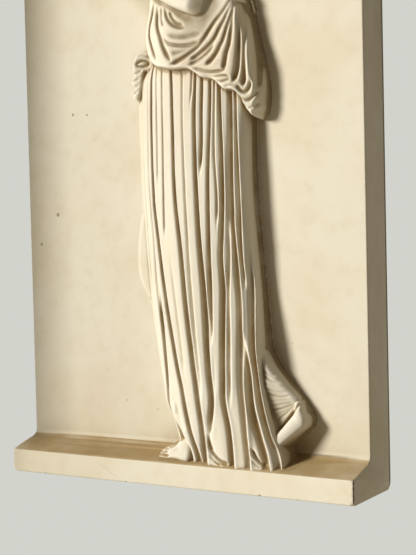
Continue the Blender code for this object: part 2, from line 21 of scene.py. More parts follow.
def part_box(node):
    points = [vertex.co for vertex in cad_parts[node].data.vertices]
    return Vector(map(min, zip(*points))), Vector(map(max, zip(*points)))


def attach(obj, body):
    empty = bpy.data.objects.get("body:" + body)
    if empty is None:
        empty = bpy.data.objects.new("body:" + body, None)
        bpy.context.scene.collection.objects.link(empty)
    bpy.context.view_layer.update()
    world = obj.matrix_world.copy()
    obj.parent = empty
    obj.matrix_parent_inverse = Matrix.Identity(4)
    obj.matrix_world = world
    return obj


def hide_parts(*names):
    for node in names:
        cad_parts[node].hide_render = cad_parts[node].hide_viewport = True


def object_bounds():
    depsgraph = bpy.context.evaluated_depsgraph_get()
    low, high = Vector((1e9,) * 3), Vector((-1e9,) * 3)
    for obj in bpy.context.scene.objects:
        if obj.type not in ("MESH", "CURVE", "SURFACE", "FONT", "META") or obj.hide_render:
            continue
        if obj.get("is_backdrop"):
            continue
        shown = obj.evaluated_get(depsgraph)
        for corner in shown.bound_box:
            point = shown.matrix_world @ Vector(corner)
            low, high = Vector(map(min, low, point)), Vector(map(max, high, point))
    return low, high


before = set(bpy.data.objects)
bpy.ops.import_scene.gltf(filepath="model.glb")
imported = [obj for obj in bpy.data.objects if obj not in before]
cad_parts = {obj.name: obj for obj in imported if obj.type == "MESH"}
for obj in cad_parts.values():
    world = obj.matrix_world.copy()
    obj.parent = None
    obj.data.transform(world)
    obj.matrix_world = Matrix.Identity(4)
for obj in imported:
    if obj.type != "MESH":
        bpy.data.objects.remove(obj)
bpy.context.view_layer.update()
solid_low, solid_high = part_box("wall_relief")

# %% [markdown]
# ## Sizes
#
# Width, height and the place of the back come from the model. The section of the panel and its ledge is
# written here in metres. The figure is drawn on a sheet in millimetres, 420 wide, with its soles at z = 25,
# because carvers think in millimetres of depth.

# %% Sizes
PANEL_WIDTH = solid_high.x - solid_low.x
PANEL_HEIGHT = solid_high.z - solid_low.z
PANEL_THICKNESS = 0.048
LEDGE_DEPTH = 0.042
LEDGE_FRONT_HEIGHT = 0.025
LEDGE_BACK_HEIGHT = 0.036
LEDGE_COVE = 0.009
ARRIS = 0.0016
HEM_SETBACK = 0.0025

MM = 0.001
# The drawing sheet, in millimetres: the panel's middle, the soles' height, the sheet's edges and its fineness
DRAWN_MIDDLE = 210.0
SOLES = 25.0
LEFT, RIGHT, LOW, HIGH = 120.0, 384.0, 0.0, 790.0
STEP = 0.5
HEM_OUT = (LEDGE_DEPTH - HEM_SETBACK) / MM

xs = np.arange(LEFT, RIGHT + STEP / 2, STEP)
zs = np.arange(LOW, HIGH + STEP / 2, STEP)
X, Z = np.meshgrid(xs, zs)
print("drawing sheet:", len(xs), "by", len(zs), "points,", STEP, "mm apart")

# %% [markdown]
# ## Carving tools
#
# A relief never folds back over itself, so it is one number for each place on the panel: how far out the
# surface stands. Sculpting by hand in Blender would work too, but a sheet of heights can be built up by
# rule, form by form, the way a carver works: first the big rounded masses, then the grooves between folds.
#
# Four tools are enough. `swell` raises a rounded mass inside an outline, `limb` a round arm or finger,
# `fold` cuts a groove (or raises a ridge) along a smooth line, and `softened` takes the edge off
# everything, as the mould and the paint do.

# %% Smooth curves through stations
def ease(t):
    """0 to 1 with soft ends."""
    t = np.clip(t, 0, 1)
    return t * t * (3 - 2 * t)


def between(z, *stations):
    """A value that changes smoothly with height, through (z, value) stations, without overshoot."""
    heights, values = np.array(sorted(stations), float).T
    steps = np.diff(heights)
    rates = np.diff(values) / steps
    slopes = np.concatenate([rates[:1], np.zeros(len(rates) - 1), rates[-1:]])
    for k in range(1, len(rates)):
        before, after = rates[k - 1], rates[k]
        if before * after > 0:
            slopes[k] = (steps[k - 1] + steps[k]) / (steps[k] / before + steps[k - 1] / after)
    z = np.clip(z, heights[0], heights[-1])
    k = np.clip(np.searchsorted(heights, z, side="right") - 1, 0, len(rates) - 1)
    t = (z - heights[k]) / steps[k]
    return (
        (1 + 2 * t) * (1 - t) ** 2 * values[k]
        + t * (1 - t) ** 2 * steps[k] * slopes[k]
        + t * t * (3 - 2 * t) * values[k + 1]
        + t * t * (t - 1) * steps[k] * slopes[k + 1]
    )


def smooth_line(points, closed=False, per_span=8):
    """Points along a Catmull-Rom curve through the given ones."""
    p = np.array(points, float)
    if closed:
        p = np.vstack([p[-1:], p, p[:2]])
    else:
        p = np.vstack([2 * p[0] - p[1], p, 2 * p[-1] - p[-2]])
    t = (np.arange(per_span) / per_span)[:, None]
    spans = [
        0.5 * (2 * b + (c - a) * t + (2 * a - 5 * b + 4 * c - d) * t**2 + (3 * b - a - 3 * c + d) * t**3)
        for a, b, c, d in zip(p[:-3], p[1:-2], p[2:-1], p[3:])
    ]
    return np.vstack(spans if closed else spans + [p[-2:-1]])


print("a soft step has risen", float(ease(0.25)), "of its height a quarter of the way along")

# %% Distances to a line
def window(line, reach):
    """The part of the sheet within reach of a line, as two slices."""
    corner = np.array([LEFT, LOW])
    first = np.clip(((line.min(axis=0) - reach - corner) / STEP).astype(int), 0, None)
    last = np.clip(((line.max(axis=0) + reach - corner) / STEP).astype(int) + 2, 0, None)
    return slice(first[1], last[1]), slice(first[0], last[0])


def near_line(x, z, line, closed=False):
    """How far each point is from a line, and how far along the line its nearest place is, from 0 to 1."""
    starts, ends = line, np.roll(line, -1, axis=0)
    if not closed:
        starts, ends = starts[:-1], ends[:-1]
    lengths = np.hypot(*(ends - starts).T)
    travelled = np.concatenate([[0.0], np.cumsum(lengths)])
    nearest = np.full(x.shape, np.inf)
    along = np.zeros(x.shape)
    for (ax, az), (bx, bz), length, so_far in zip(starts, ends, lengths, travelled):
        share = ((x - ax) * (bx - ax) + (z - az) * (bz - az)) / max(length * length, 1e-9)
        share = np.clip(share, 0, 1)
        away = np.hypot(x - ax - share * (bx - ax), z - az - share * (bz - az))
        closer = away < nearest
        nearest = np.where(closer, away, nearest)
        along = np.where(closer, so_far + share * length, along)
    return nearest, along / travelled[-1]


def depth_inside(x, z, line):
    """How far inside a closed line each point lies, negative outside it."""
    away = near_line(x, z, line, closed=True)[0]
    odd = np.zeros(x.shape, bool)
    for (ax, az), (bx, bz) in zip(line, np.roll(line, -1, axis=0)):
        if az != bz:
            odd ^= ((az > z) != (bz > z)) & (x < ax + (z - az) / (bz - az) * (bx - ax))
    return np.where(odd, away, -away)


square = np.array([(0, 0), (10, 0), (10, 10), (0, 10)], float)
inside = depth_inside(np.array([5.0]), np.array([4.0]), square)
print("a point 4 mm above a square's lower side lies", inside[0], "mm inside it")

# %% The four carving tools
# The steepest wall of a form, in millimetres out for each millimetre across
STEEPEST = 7.0


def swell(layer, outline, height, shoulder, edge=0.0, steepest=STEEPEST):
    """Raises a form inside a smooth outline, from its edge's height to its full height over a shoulder."""
    line = smooth_line(outline, closed=True)
    part = window(line, 2 * STEP)
    x, z = X[part], Z[part]
    inner = depth_inside(x, z, line)
    share = 1 - np.clip(inner / shoulder, 0, 1)
    top = height(x, z) if callable(height) else height
    low = edge(x, z) if callable(edge) else edge
    form = low + (top - low) * np.sqrt(1 - share**2)
    form = np.minimum(form, np.clip(inner, 0, None) * steepest)
    layer[part] = np.where(inner > 0, np.maximum(layer[part], form), layer[part])


def limb(layer, start, end, radii, depths, squash=1.0, steepest=STEEPEST):
    """Raises a round limb between two joints, with a radius and an axis depth at each."""
    joints = np.array([start, end], float)
    part = window(joints, max(radii) + STEP)
    x, z = X[part], Z[part]
    away, share = near_line(x, z, joints)
    radius = radii[0] + (radii[1] - radii[0]) * share
    axis = depths[0] + (depths[1] - depths[0]) * share
    inner = np.clip(radius - away, 0, None)
    form = axis + squash * np.sqrt(np.clip(radius**2 - away**2, 0, None))
    form = np.minimum(form, inner * steepest)
    layer[part] = np.where(inner > 0, np.maximum(layer[part], form), layer[part])


# The crease's share of a fold's depth, and how many times wider the hollow round the crease is
CREASE_SHARE = 0.5
HOLLOW_REACH = 1.9
# The share of its width that a fold keeps where it ends, and the thinnest form that a fold cuts
END_WIDTH = 0.45
THINNEST = 0.5


def fold(layer, points, depth, half, fades=(0.2, 0.22), taper=1.0):
    """Cuts a fold along a smooth line, or raises a round ridge where the depth is negative.

    A fold is a narrow crease in a wider hollow with rounded shoulders, so that the cloth between two folds
    swells. It fades and narrows over these shares of its length at its start and its end, and taper is the
    share of its depth and width that it has where the line starts.
    """
    line = smooth_line(points)
    crease = CREASE_SHARE if depth > 0 else 1
    part = window(line, half * HOLLOW_REACH + STEP)
    away, share = near_line(X[part], Z[part], line)
    fade = np.ones(share.shape)
    if fades[0]:
        fade = fade * ease(share / fades[0])
    if fades[1]:
        fade = fade * ease((1 - share) / fades[1])
    grown = taper + (1 - taper) * share
    t = away / (half * grown * (END_WIDTH + (1 - END_WIDTH) * fade))
    section = crease * np.clip(1 - t * t, 0, None) ** 1.5
    section += (1 - crease) * np.clip(1 - t / HOLLOW_REACH, 0, None) ** 2
    form = layer[part]
    layer[part] = np.where(form > THINNEST, form - depth * fade * grown * section, form)


def softened(layer, spread):
    """The same heights with every edge rounded over the given distance."""
    reach = max(1, round(3 * spread / STEP))
    weights = np.exp(-0.5 * (np.arange(-reach, reach + 1) * STEP / spread) ** 2)
    weights /= weights.sum()
    for axis in (0, 1):
        padding = [(0, 0), (0, 0)]
        padding[axis] = (reach, reach)
        wide = np.pad(layer, padding, mode="edge")
        count = layer.shape[axis]
        layer = sum(
            weight * np.take(wide, np.arange(k, k + count), axis=axis) for k, weight in enumerate(weights)
        )
    return layer


trial = np.zeros(X.shape)
limb(trial, (200, 300), (200, 400), (10, 10), (0, 0))
print("a limb with a radius of 10 stands", round(float(trial.max()), 1), "mm out")

# %% [markdown]
# ## The skirt
#
# The long skirt is the main thing seen. Its mass is simple: it rises slowly from the panel on the left,
# where the far leg is, stands about 30 mm out over the near leg, and falls away steeply on the right. At
# the hem it spreads and comes forward almost to the ledge's edge. It is written as a few outlines and
# depths by height, because each can then be corrected by itself.

# %% The skirt's mass
# Its left and right outlines and how far it stands out, as (z, value) stations
SKIRT_LEFT = (
    (500, 196), (470, 188), (450, 180), (436, 166), (425, 159), (350, 156.5), (250, 161), (200, 165),
    (150, 172), (120, 177), (100, 181), (85, 185), (75, 191), (66, 199), (58, 205), (50, 211), (40, 216),
    (24, 221),
)
SKIRT_RIGHT = (
    (500, 301), (340, 300), (300, 301), (250, 305), (200, 309), (150, 313.5), (120, 316.5), (90, 322.5),
    (60, 331.5), (40, 338.5), (24, 343),
)
SKIRT_DEPTH = (
    (500, 25), (430, 25), (380, 27.5), (320, 30), (220, 30.5), (150, 32), (90, 35), (SOLES, HEM_OUT),
)
# The rise from the left takes this share of the width, and a power by height makes it fuller
RISE_SHARE = 0.58
RISE_POWER = (400, 0.78), (200, 0.76), (120, 0.72), (80, 0.42), (60, 0.22), (45, 0.12), (24, 0.12)
# The flank starts this far from the left, and by height has dropped this far where the steep turn begins
FLANK_START = 98
FLANK_DROP = (220, 7.0), (120, 5.0), (24, 3.0)
# By height, how wide the steep turn at the right is, and how steep the skirt's walls may be
TURN_WIDTH = (200, 8.0), (120, 5.0), (24, 4.5)
WALL_STEEPNESS = (110, STEEPEST), (60, 22)
# Above this height the mantle covers the skirt
SKIRT_TOP = 475


def skirt_body(x, z):
    """The skirt before its folds: a slow rise from the left, a gentle flank and a steep turn."""
    left, right = between(z, *SKIRT_LEFT), between(z, *SKIRT_RIGHT)
    rise = 1 - np.clip(1 - (x - left) / (RISE_SHARE * (right - left)), 0, 1) ** 2
    rise = rise ** between(z, *RISE_POWER)
    on_flank = np.clip((x - left - FLANK_START) / (right - left - FLANK_START), 0, 1)
    flank = between(z, *FLANK_DROP) * on_flank ** 1.5
    turn = np.sqrt(1 - np.clip((x - right) / between(z, *TURN_WIDTH) + 1, 0, 1) ** 1.7)
    inner = np.clip(np.minimum(x - left, right - x), 0, None)
    form = (between(z, *SKIRT_DEPTH) * rise - flank) * turn
    wall = inner * between(z, *WALL_STEEPNESS)
    return np.where(z < SKIRT_TOP, np.clip(np.minimum(form, wall), 0, None), 0)


print("the skirt stands", round(float(skirt_body(250.0, 300.0)), 1), "mm out over the near knee")

# %% [markdown]
# The pleats come next. Each is a groove that runs nearly upright, and in section it leans: the wall that
# faces away from the light is long and gentle, and the one that faces it is short and ends in a sharp lit
# rim. That rim is what makes pleats look like cloth and not like fluting. No two are alike, so each has its
# own stations.

# %% The skirt's pleats
# Where each runs as (z, x), then its depth, its width on its left and on its right, and its rim's height
OPEN = 10
PLEATS = (
    (((470, 160), (385, 164), (330, 165), (270, 168), (230, 170), (200, 171)), 1.6, 2.0, 1.8, 0.3),
    (((470, 171), (385, 174.5), (340, 174.5), (290, 176.5), (260, 179), (235, 180.5), (205, 182.5),
     (180, 185.5), (150, 189)), 2.4, 2.4, 2.0, 0.3),
    (((225, 183.5), (200, 185.5), (175, 188), (150, 190), (120, 191.5), (100, 192.5), (85, 194.5),
     (75, 198.5), (69, 203), (60, 211.5), (50, 220), (40, 228), (OPEN, 234)), 7.4, 4.2, 4.2, 0.5),
    (((470, 178), (402, 180), (300, 182.2), (260, 187.6), (240, 190.5), (199, 196.5), (149, 205.8),
     (119, 213), (100, 219), (89, 222), (59, 230.5), (40, 239), (28, 243), (OPEN, 246)),
     6.5, 3.8, 3.4, 0.5),
    (((470, 187), (400, 188.7), (340, 190.3), (305, 190.7)), 3.2, 2.0, 2.0, 0.3),
    (((470, 195.5), (381, 198.5), (300, 199), (252, 199)), 3.4, 2.4, 2.2, 0.3),
    (((262, 205), (240, 207), (200, 211.5), (149, 218), (108, 223.5)), 1.6, 2.4, 2.4, 0.0),
    (((470, 209), (380, 212), (300, 215.8), (260, 219.8), (200, 225.3), (150, 232), (120, 236), (90, 241),
     (60, 246.5), (30, 251), (OPEN, 252.5)), 6.5, 4.0, 3.4, 0.5),
    (((470, 224.5), (380, 226.4), (300, 229), (260, 231.2), (200, 234.4), (150, 238.8), (120, 243),
     (84, 247)), 2.6, 3.2, 2.4, 0.3),
    (((470, 239), (429, 237.7), (386, 234.7)), 3.6, 2.4, 2.0, 0.4),
    (((470, 243), (380, 240.0), (340, 241), (300, 243.2), (260, 245.2), (200, 249.5), (120, 255.5),
     (90, 258.5), (70, 257), (50, 257)), 7.2, 4.4, 3.6, 0.5),
    (((470, 251), (400, 249.4), (360, 249.8), (319, 247.4)), 6.4, 4.4, 2.8, 0.3),
    (((470, 260), (400, 258.8), (300, 257), (250, 256.6), (200, 258), (144, 258.6)), 5.6, 3.8, 3.0, 0.4),
    (((155, 262), (120, 262.5), (84, 264)), 1.4, 2.2, 2.2, 0.0),
    (((470, 264), (400, 264.3), (350, 264.8), (300, 266.8), (262, 265.8)), 3.6, 2.2, 2.0, 0.5),
    (((470, 269), (400, 269.8), (300, 273.4), (260, 271.8), (240, 270.5), (200, 272.5), (150, 272.5),
     (120, 272.5), (100, 272.5), (61, 280), (40, 283), (OPEN, 286)), 7.2, 4.6, 3.0, 0.8),
    (((305, 278.5), (240, 280.2), (200, 278.6), (120, 280), (82, 282)), 3.0, 3.2, 2.2, 0.4),
    (((470, 276), (385, 278.5), (320, 279.5), (262, 281)), 3.4, 6.0, 7.0, 0.0),
    (((470, 280.5), (385, 282.6), (335, 283), (285, 284.2), (240, 287), (180, 291.4), (120, 292.5),
     (60, 299), (32, 303), (OPEN, 305)), 5.4, 5.2, 2.4, 1.0),
    (((470, 286), (400, 287.8), (341, 290.2), (285, 291.6), (240, 293.6), (200, 298.5)),
     4.4, 4.4, 1.8, 1.1),
    (((178, 292), (150, 295.5), (135, 297.5), (120, 299.5), (90, 303.4), (60, 313), (40, 320.5),
     (OPEN, 327)), 8.0, 5.0, 4.2, 0.8),
    (((262, 299), (240, 300.5), (200, 302.2), (150, 305), (120, 309.2), (90, 315.4), (60, 324.6), (40, 333),
     (OPEN, 339)), 7.0, 4.6, 2.8, 1.4),
)
# No pleat cuts away more than this share of the cloth
DEEPEST_PLEAT = 0.62
# By height: how narrow and how shallow the pleats are, how wide their rims are, how far the shoulder on the
# rim's side reaches in pleat widths, and how much of the section is shoulder
NARROWED = (460, 0.50), (340, 0.62), (240, 0.86), (160, 1.0)
SHALLOWED = (460, 0.62), (340, 0.78), (240, 0.95), (160, 1.0)
RIM_WIDTH = (460, 0.9), (300, 1.1), (150, 1.7), (60, 2.4)
SHORT_SHOULDER = (460, 1.4), (300, 1.4), (150, 2.1), (60, 2.8)
SOFT_SHARE = (460, 0.34), (300, 0.34), (150, 0.44), (60, 0.52)
LONG_SHOULDER = 2.6
# A pleat is full this far below its top: first for one from under the mantle, then for one that starts lower
UNDER_MANTLE = 470
PLEAT_FADE = (14, 60)
PLEAT_END = 26
# A pleat's width at its ends as a share, and how far and how slowly it wavers from side to side
PLEAT_END_WIDTH = 0.35
WAVER, WAVER_LENGTH = 0.35, 23


def add_pleats(body):
    cut = np.zeros(body.shape)
    narrow = between(zs, *NARROWED)
    shallow = between(zs, *SHALLOWED)
    rim_width = between(zs, *RIM_WIDTH)[:, None]
    short_shoulder = between(zs, *SHORT_SHOULDER)[:, None]
    soft = between(zs, *SOFT_SHARE)[:, None]
    for number, (stations, depth, left, right, rim) in enumerate(PLEATS):
        top, foot = stations[0][0], stations[-1][0]
        fade = ease((top - zs) / PLEAT_FADE[top < UNDER_MANTLE])
        if foot != OPEN:
            fade = fade * ease((zs - foot) / PLEAT_END)
        width = narrow * (PLEAT_END_WIDTH + (1 - PLEAT_END_WIDTH) * fade)
        waver = WAVER * np.sin(zs / WAVER_LENGTH + 2.4 * number)
        across = xs - (between(zs, *stations) + waver + (1 - narrow) * right)[:, None]
        part = np.abs(across) / (np.where(across < 0, left, right) * width[:, None])
        wall = (1 - soft) * np.clip(1 - part**2, 0, None)
        bowl = soft * np.clip(1 - part / np.where(across < 0, LONG_SHOULDER, short_shoulder), 0, None) ** 2
        lip = rim_width * np.exp(-(((across - right * width[:, None]) / rim_width - 0.6) ** 2))
        cut += fade[:, None] * (shallow[:, None] * depth * (wall + bowl) - rim * lip)
    return body - np.minimum(cut, DEEPEST_PLEAT * body)


# The strokes where the hem breaks on the ledge, as points, depth and half width
HEM_FOLDS = (
    (((256, 60), (255, 52), (257, 44), (263, 36), (271, 30.5), (281, 28)), 4.6, 2.8),
    (((256, 38), (262, 31.5), (271, 27)), 2.4, 1.6),
    (((253, 60), (256, 50), (261, 41)), 1.8, 5.0),
    (((306, 50), (309, 42), (315, 33.5), (322, 28.5)), 4.2, 2.4),
    (((305, 40), (310, 33), (317, 28)), 1.8, 1.4),
    (((205, 90), (207.5, 83), (210, 75)), -1.2, 4.0),
    (((212, 88), (212.5, 78), (216, 67), (222, 56)), 1.6, 3.6),
)


def add_skirt(relief):
    skirt = add_pleats(skirt_body(X, Z))
    for points, depth, half in HEM_FOLDS:
        fold(skirt, points, depth, half, fades=(0.3, 0.12))
    np.maximum(relief, skirt, out=relief)


print(len(PLEATS), "pleats and", len(HEM_FOLDS), "strokes at the hem")

# %% [markdown]
# ## The mantle
#
# A cloak is slung round the waist. Its folds start in a knot at the right hip and fan out: some swing low
# across the belly, the outer ones hang almost straight, and the rolled lower edge crosses the skirt. One
# outline with a firm edge makes the thickness of the cloth, and each fold is one stroke from the knot.

# %% The mantle's mass
MANTLE_RIGHT = (
    (520, 296), (495, 299.5), (480, 303), (460, 308), (440, 312.5), (420, 316.5), (405, 318.5), (390, 317.5),
    (378, 312),
)
# The left edge's depth, how far the cloth rises from there to the belly, and how thick it is at its own edge
MANTLE_LOW, MANTLE_RISE = 5, 28.5
CLOTH_THICKNESS = 3.4
# How wide the mantle's steep turn at the hip is, and how far the cloth has already dropped before it
MANTLE_TURN = 9.0
HIP_DROP = 6.0


def mantle_height(x, z):
    """A quick rise to the belly, a slow drop to the hip and its steep turn, and a low place for the knot.

    In each ease the number taken away is where a change starts, and the number divided by is how long it is.
    """
    rise = MANTLE_LOW + MANTLE_RISE * np.sin(np.pi / 2 * np.clip((x - 168) / 53, 0, 1))
    hip = 4 * ease((x - 214) / 50) + HIP_DROP * ease((x - 284) / 24)
    fall = 20 * np.clip(1 - (between(z, *MANTLE_RIGHT) - x) / MANTLE_TURN, 0, 1) ** 1.2
    knot = 9 * ease((z - 497) / 16) * ease((x - 266) / 20)
    roll = 2.0 * np.exp(-(((z - 430) / 25) ** 2))
    return rise - hip - fall - knot + roll


def mantle_edge(x, z):
    return np.maximum(mantle_height(x, z) - CLOTH_THICKNESS, 1.5)


MANTLE_OUTLINE = (
    (189, 515), (180.5, 499), (172.5, 484), (169.5, 470), (173, 457), (181.5, 446), (193, 438.8),
    (204, 435.3), (219.5, 432), (236, 431.5), (244.5, 426.5), (252.5, 421.5), (265, 418.5), (270.5, 413.5),
    (278, 407.5), (287, 406.5), (293, 400.5), (298, 389.5), (303.5, 381.5), (309, 377.5), (313.5, 381),
    (317, 390), (318.5, 404), (316.5, 421), (312.5, 441), (308, 461), (303, 481), (299.5, 497), (295, 511),
    (286, 520), (245, 523),
)
print("the mantle stands", round(float(mantle_height(240.0, 460.0)), 1), "mm out on the belly")

# %% The mantle's folds
# The rays of the fan, from the knot outwards, with each one's depth and half width
MANTLE_RAYS = (
    (((290, 499), (279, 486), (270, 477.5), (262, 468), (255.5, 460), (248, 453), (238, 446.5),
     (226, 440.5), (216, 437.5)), 6.0, 3.2),
    (((291, 498), (282, 480), (275, 470), (268.5, 460), (260, 452.5), (250, 446), (240, 440)), 5.8, 3.1),
    (((291.5, 496), (287, 480), (280, 460), (276, 453), (272.5, 447), (266, 439.5), (258, 434)), 5.6, 3.0),
    (((292, 496), (289.5, 480), (288, 466), (286, 453), (283.5, 446), (281.5, 437), (279.5, 426)),
     6.0, 3.3),
    (((293, 496), (294.5, 480), (296, 466), (295.8, 450), (295, 436), (293.5, 426), (289, 413)), 6.6, 3.4),
    (((294.5, 496), (298, 480), (300, 464), (300.5, 450), (300.5, 436), (300.3, 420), (299.5, 408)),
     6.4, 2.8),
    (((295.5, 495), (302.5, 478), (306.5, 460), (309, 447), (311, 434), (312, 420), (312, 404)), 5.2, 2.6),
)
# Fine ridges that catch the light on the hip's dark side
HIP_RIDGES = (
    ((297, 490), (300.5, 470), (302.8, 458), (304.6, 446), (305.6, 434), (305.2, 420), (303.5, 411)),
    ((299, 490), (306, 468), (309.8, 456), (312.4, 444), (314.4, 430), (315.6, 414), (316, 402)),
)
# The other strokes, as points, depth and half width: the belly's, the tip's, and the rolled lower edge's
MANTLE_FOLDS = (
    (((195, 508), (187.7, 493), (181.5, 482.6), (180.2, 472.5), (185, 462), (191.5, 452), (199, 442)),
     6.0, 2.8),
    (((200.5, 503), (198, 482), (202.5, 469), (207.5, 458), (215.5, 446), (222.5, 438.5)), 6.4, 3.2),
    (((207, 499), (206.5, 486), (210, 477)), 2.6, 2.0),
    (((211.5, 499), (214.5, 487), (220.5, 479.5), (229, 475.5), (238, 474)), 4.0, 2.2),
    (((217.5, 494), (221, 485), (227, 479.5), (235, 477)), 3.8, 2.2),
    (((205, 472), (212, 462.5), (226, 457.5), (242, 457), (256, 461)), 3.2, 3.0),
    (((216, 449), (228, 450), (240, 452.5), (254, 458)), 1.6, 5.0),
    (((212, 470), (224, 466), (238, 465), (256, 468)), 1.5, 4.6),
    (((238, 435), (249.5, 440), (261, 447.5), (270, 457)), 4.6, 2.6),
    (((293, 414), (296.5, 407), (301.5, 405), (306, 410), (307.5, 418)), 4.6, 1.9),
    (((293.5, 403), (299, 397.5), (305, 397), (310, 401), (312.5, 409)), 4.4, 1.9),
    (((297.5, 394.5), (303, 389.5), (309, 389.5), (313.5, 396)), 3.6, 1.7),
    (((301, 387.5), (306.5, 383.5), (311.5, 386)), 2.8, 1.5),
    (((241, 434), (252, 430.5), (263, 427.5), (275, 427.3), (284.5, 428.5)), 3.4, 2.2),
    (((254, 424.8), (266, 422.3), (279, 422.8), (290, 420)), 2.6, 1.6),
    (((268, 416.5), (279, 417.2), (289, 419.5)), 2.8, 1.7),
    (((279, 411.3), (289, 411.9), (296, 408)), 2.4, 1.5),
    (((201, 438), (213, 435.2), (226, 434.7)), 1.6, 1.5),
)
# The skirt is pressed this far under the mantle's edge, and the mantle's own edges are softened by this much
TUCK = 5
MANTLE_SOFTENING = 0.7


def add_mantle(relief):
    cloth = np.zeros(X.shape)
    swell(cloth, MANTLE_OUTLINE, mantle_height, 6, edge=mantle_edge, steepest=24)
    for points, depth, half in MANTLE_RAYS:
        fold(cloth, points, depth, half, fades=(0, 0.1), taper=0.45)
    for points in HIP_RIDGES:
        fold(cloth, points, -1.8, 1.7)
    for points, depth, half in MANTLE_FOLDS:
        fold(cloth, points, depth, half)
    pressed = np.minimum(relief, mantle_edge(X, Z) - TUCK)
    relief[:] = np.where(cloth > 0, np.maximum(pressed, softened(cloth, MANTLE_SOFTENING)), relief)


print(len(MANTLE_RAYS) + len(HIP_RIDGES) + len(MANTLE_FOLDS), "strokes in the mantle")

# %% The mantle's other end
# It hangs in a small bunch beside the far hip. Each stroke has points, depth, half width and fades.
MANTLE_END = (
    (154.5, 450), (158.5, 457), (168, 460), (180, 457), (188, 448), (186, 437), (176, 436), (168, 438),
    (166, 430), (165, 421), (162, 409), (158, 406.5), (152.5, 410), (150.5, 415), (153.5, 420.5),
    (149.5, 427), (153, 433), (151.5, 441),
)
MANTLE_END_FOLDS = (
    (((159, 446.5), (164, 449.5), (170, 448.5), (171.5, 445.5), (166, 443.5), (160, 444.5)),
     3.6, 2.0, (0, 0)),
    (((157, 452.5), (166, 455), (177, 451), (181.5, 445), (176, 440), (167, 439.5)), 1.8, 1.5, (0.2, 0.22)),
    (((152, 442), (158, 439), (166, 439)), 2.0, 1.6, (0.2, 0.22)),
    (((150, 434), (156, 435), (165, 439)), 2.4, 1.8, (0, 0.4)),
    (((150, 427), (155.6, 428), (164, 432)), 2.4, 1.8, (0, 0.4)),
    (((150, 420), (155.2, 421), (163, 425)), 2.4, 1.8, (0, 0.4)),
    (((150, 413), (154.4, 414), (161, 418)), 2.4, 1.8, (0, 0.4)),
)


def mantle_end_height(x, z):
    return 9.5 - 0.35 * np.clip(x - 158, 0, 14)


def add_mantle_end(relief):
    cloth = np.zeros(X.shape)
    swell(cloth, MANTLE_END, mantle_end_height, 4, edge=3.5)
    for points, depth, half, fades in MANTLE_END_FOLDS:
        fold(cloth, points, depth, half, fades)
    np.maximum(relief, cloth, out=relief)


print("the mantle's other end stands", mantle_end_height(158, 0), "mm out")

# %% [markdown]
# ## Legs and feet
#
# The woman is caught in mid step. The far knee barely lifts the cloth that hides it. The near leg trails:
# the step pulls its cloth tight, in fine folds that gather at the ankle, and the heel is raised. The other
# foot stands on the ledge, and only its toes show. Each form has a small layer of its own and is laid over
# the figure where it stands further out, so the nearer form stays in front, as on the carving.

# %% The legs
FAR_KNEE = (
    (166, 318), (158, 292), (152.5, 268), (150, 243), (150.5, 222), (156, 206), (164, 194), (172, 184),
    (190, 190), (190, 318),
)
CALF = (
    (300, 176), (308, 160), (313, 148), (319, 136), (325, 126), (332, 117), (339, 108.5), (346, 101),
    (350, 95), (349, 84), (341, 70), (331, 58), (318, 52), (304, 90),
)
# How far the calf stands out by height, and how fast it falls back to the right of x = 318
CALF_DEPTH = (160, 18), (130, 22), (90, 24.5), (60, 24)
CALF_SLOPE = 0.32
# Where the calf's folds gather, and how many there are
ANKLE = (349.0, 93.5)
ANKLE_FOLDS = 10


def add_far_knee(relief):
    """The far leg under its drapery, barely raised from the panel."""
    swell(relief, FAR_KNEE, 3.0, 13, edge=0.7, steepest=0.7)


def calf_height(x, z):
    return between(z, *CALF_DEPTH) - CALF_SLOPE * np.clip(x - 318, 0, 30)


def add_rear_leg(relief):
    """The leg left behind: drapery that the step pulls tight, gathered at the ankle, and the raised heel."""
    cloth = np.zeros(X.shape)
    swell(cloth, CALF, calf_height, 7, edge=4)
    for number in range(ANKLE_FOLDS):
        left_to_go = (1 - number / (ANKLE_FOLDS - 1)) ** 2.5
        wave = math.sin(2.1 * number)
        start = (308 + 1.4 * number, 128 - 6.4 * number + 1.6 * wave)
        end = (ANKLE[0] - 20 * left_to_go, ANKLE[1] + 25 * left_to_go)
        middle = (0.45 * start[0] + 0.55 * end[0], 0.45 * start[1] + 0.55 * end[1] - 2.4 - 0.8 * wave)
        fold(cloth, (start, middle, end), 1.2 + 0.5 * wave, 1.7, fades=(0.45, 0.25))
    heel = np.zeros(X.shape)
    limb(heel, (322, 46), (332, 55), (8, 10), (19, 19))
    limb(heel, (332, 55), (350, 74), (10, 11.5), (20, 12))
    limb(heel, (350, 75), (348, 90), (10.5, 5.5), (11, 12))
    np.maximum(cloth, softened(heel, 1.0), out=cloth)
    fold(cloth, ((321, 53.5), (331.5, 65.5), (342.5, 79.5), (351, 91)), 3.6, 1.5, fades=(0, 0))
    np.maximum(relief, cloth, out=relief)


print(ANKLE_FOLDS, "folds gather at the ankle, at", ANKLE)

# %% The front foot
FOOT_OUTLINE = (
    (189.5, 27.5), (188, 29.5), (189.3, 31.2), (188.6, 33), (190.6, 34.6), (190.8, 36.4), (193.6, 37.6),
    (195, 39.4), (199, 40.6), (205, 42.2), (211, 43.6), (217.5, 49), (230, 50), (232, 25.5), (214, 25.2),
    (196, 26.2),
)
# Where each toe's groove starts and ends
TOE_GROOVES = (
    ((187.5, 31.2), (208, 31.2)), ((188, 34.4), (206, 35.0)),
    ((190.5, 37.2), (206, 38.2)), ((194, 39.8), (209, 41)),
)


def foot_height(x, z):
    return 33.5 + 0.12 * np.clip(x - 191, 0, 30) - 0.35 * np.clip(z - 32, 0, 20)


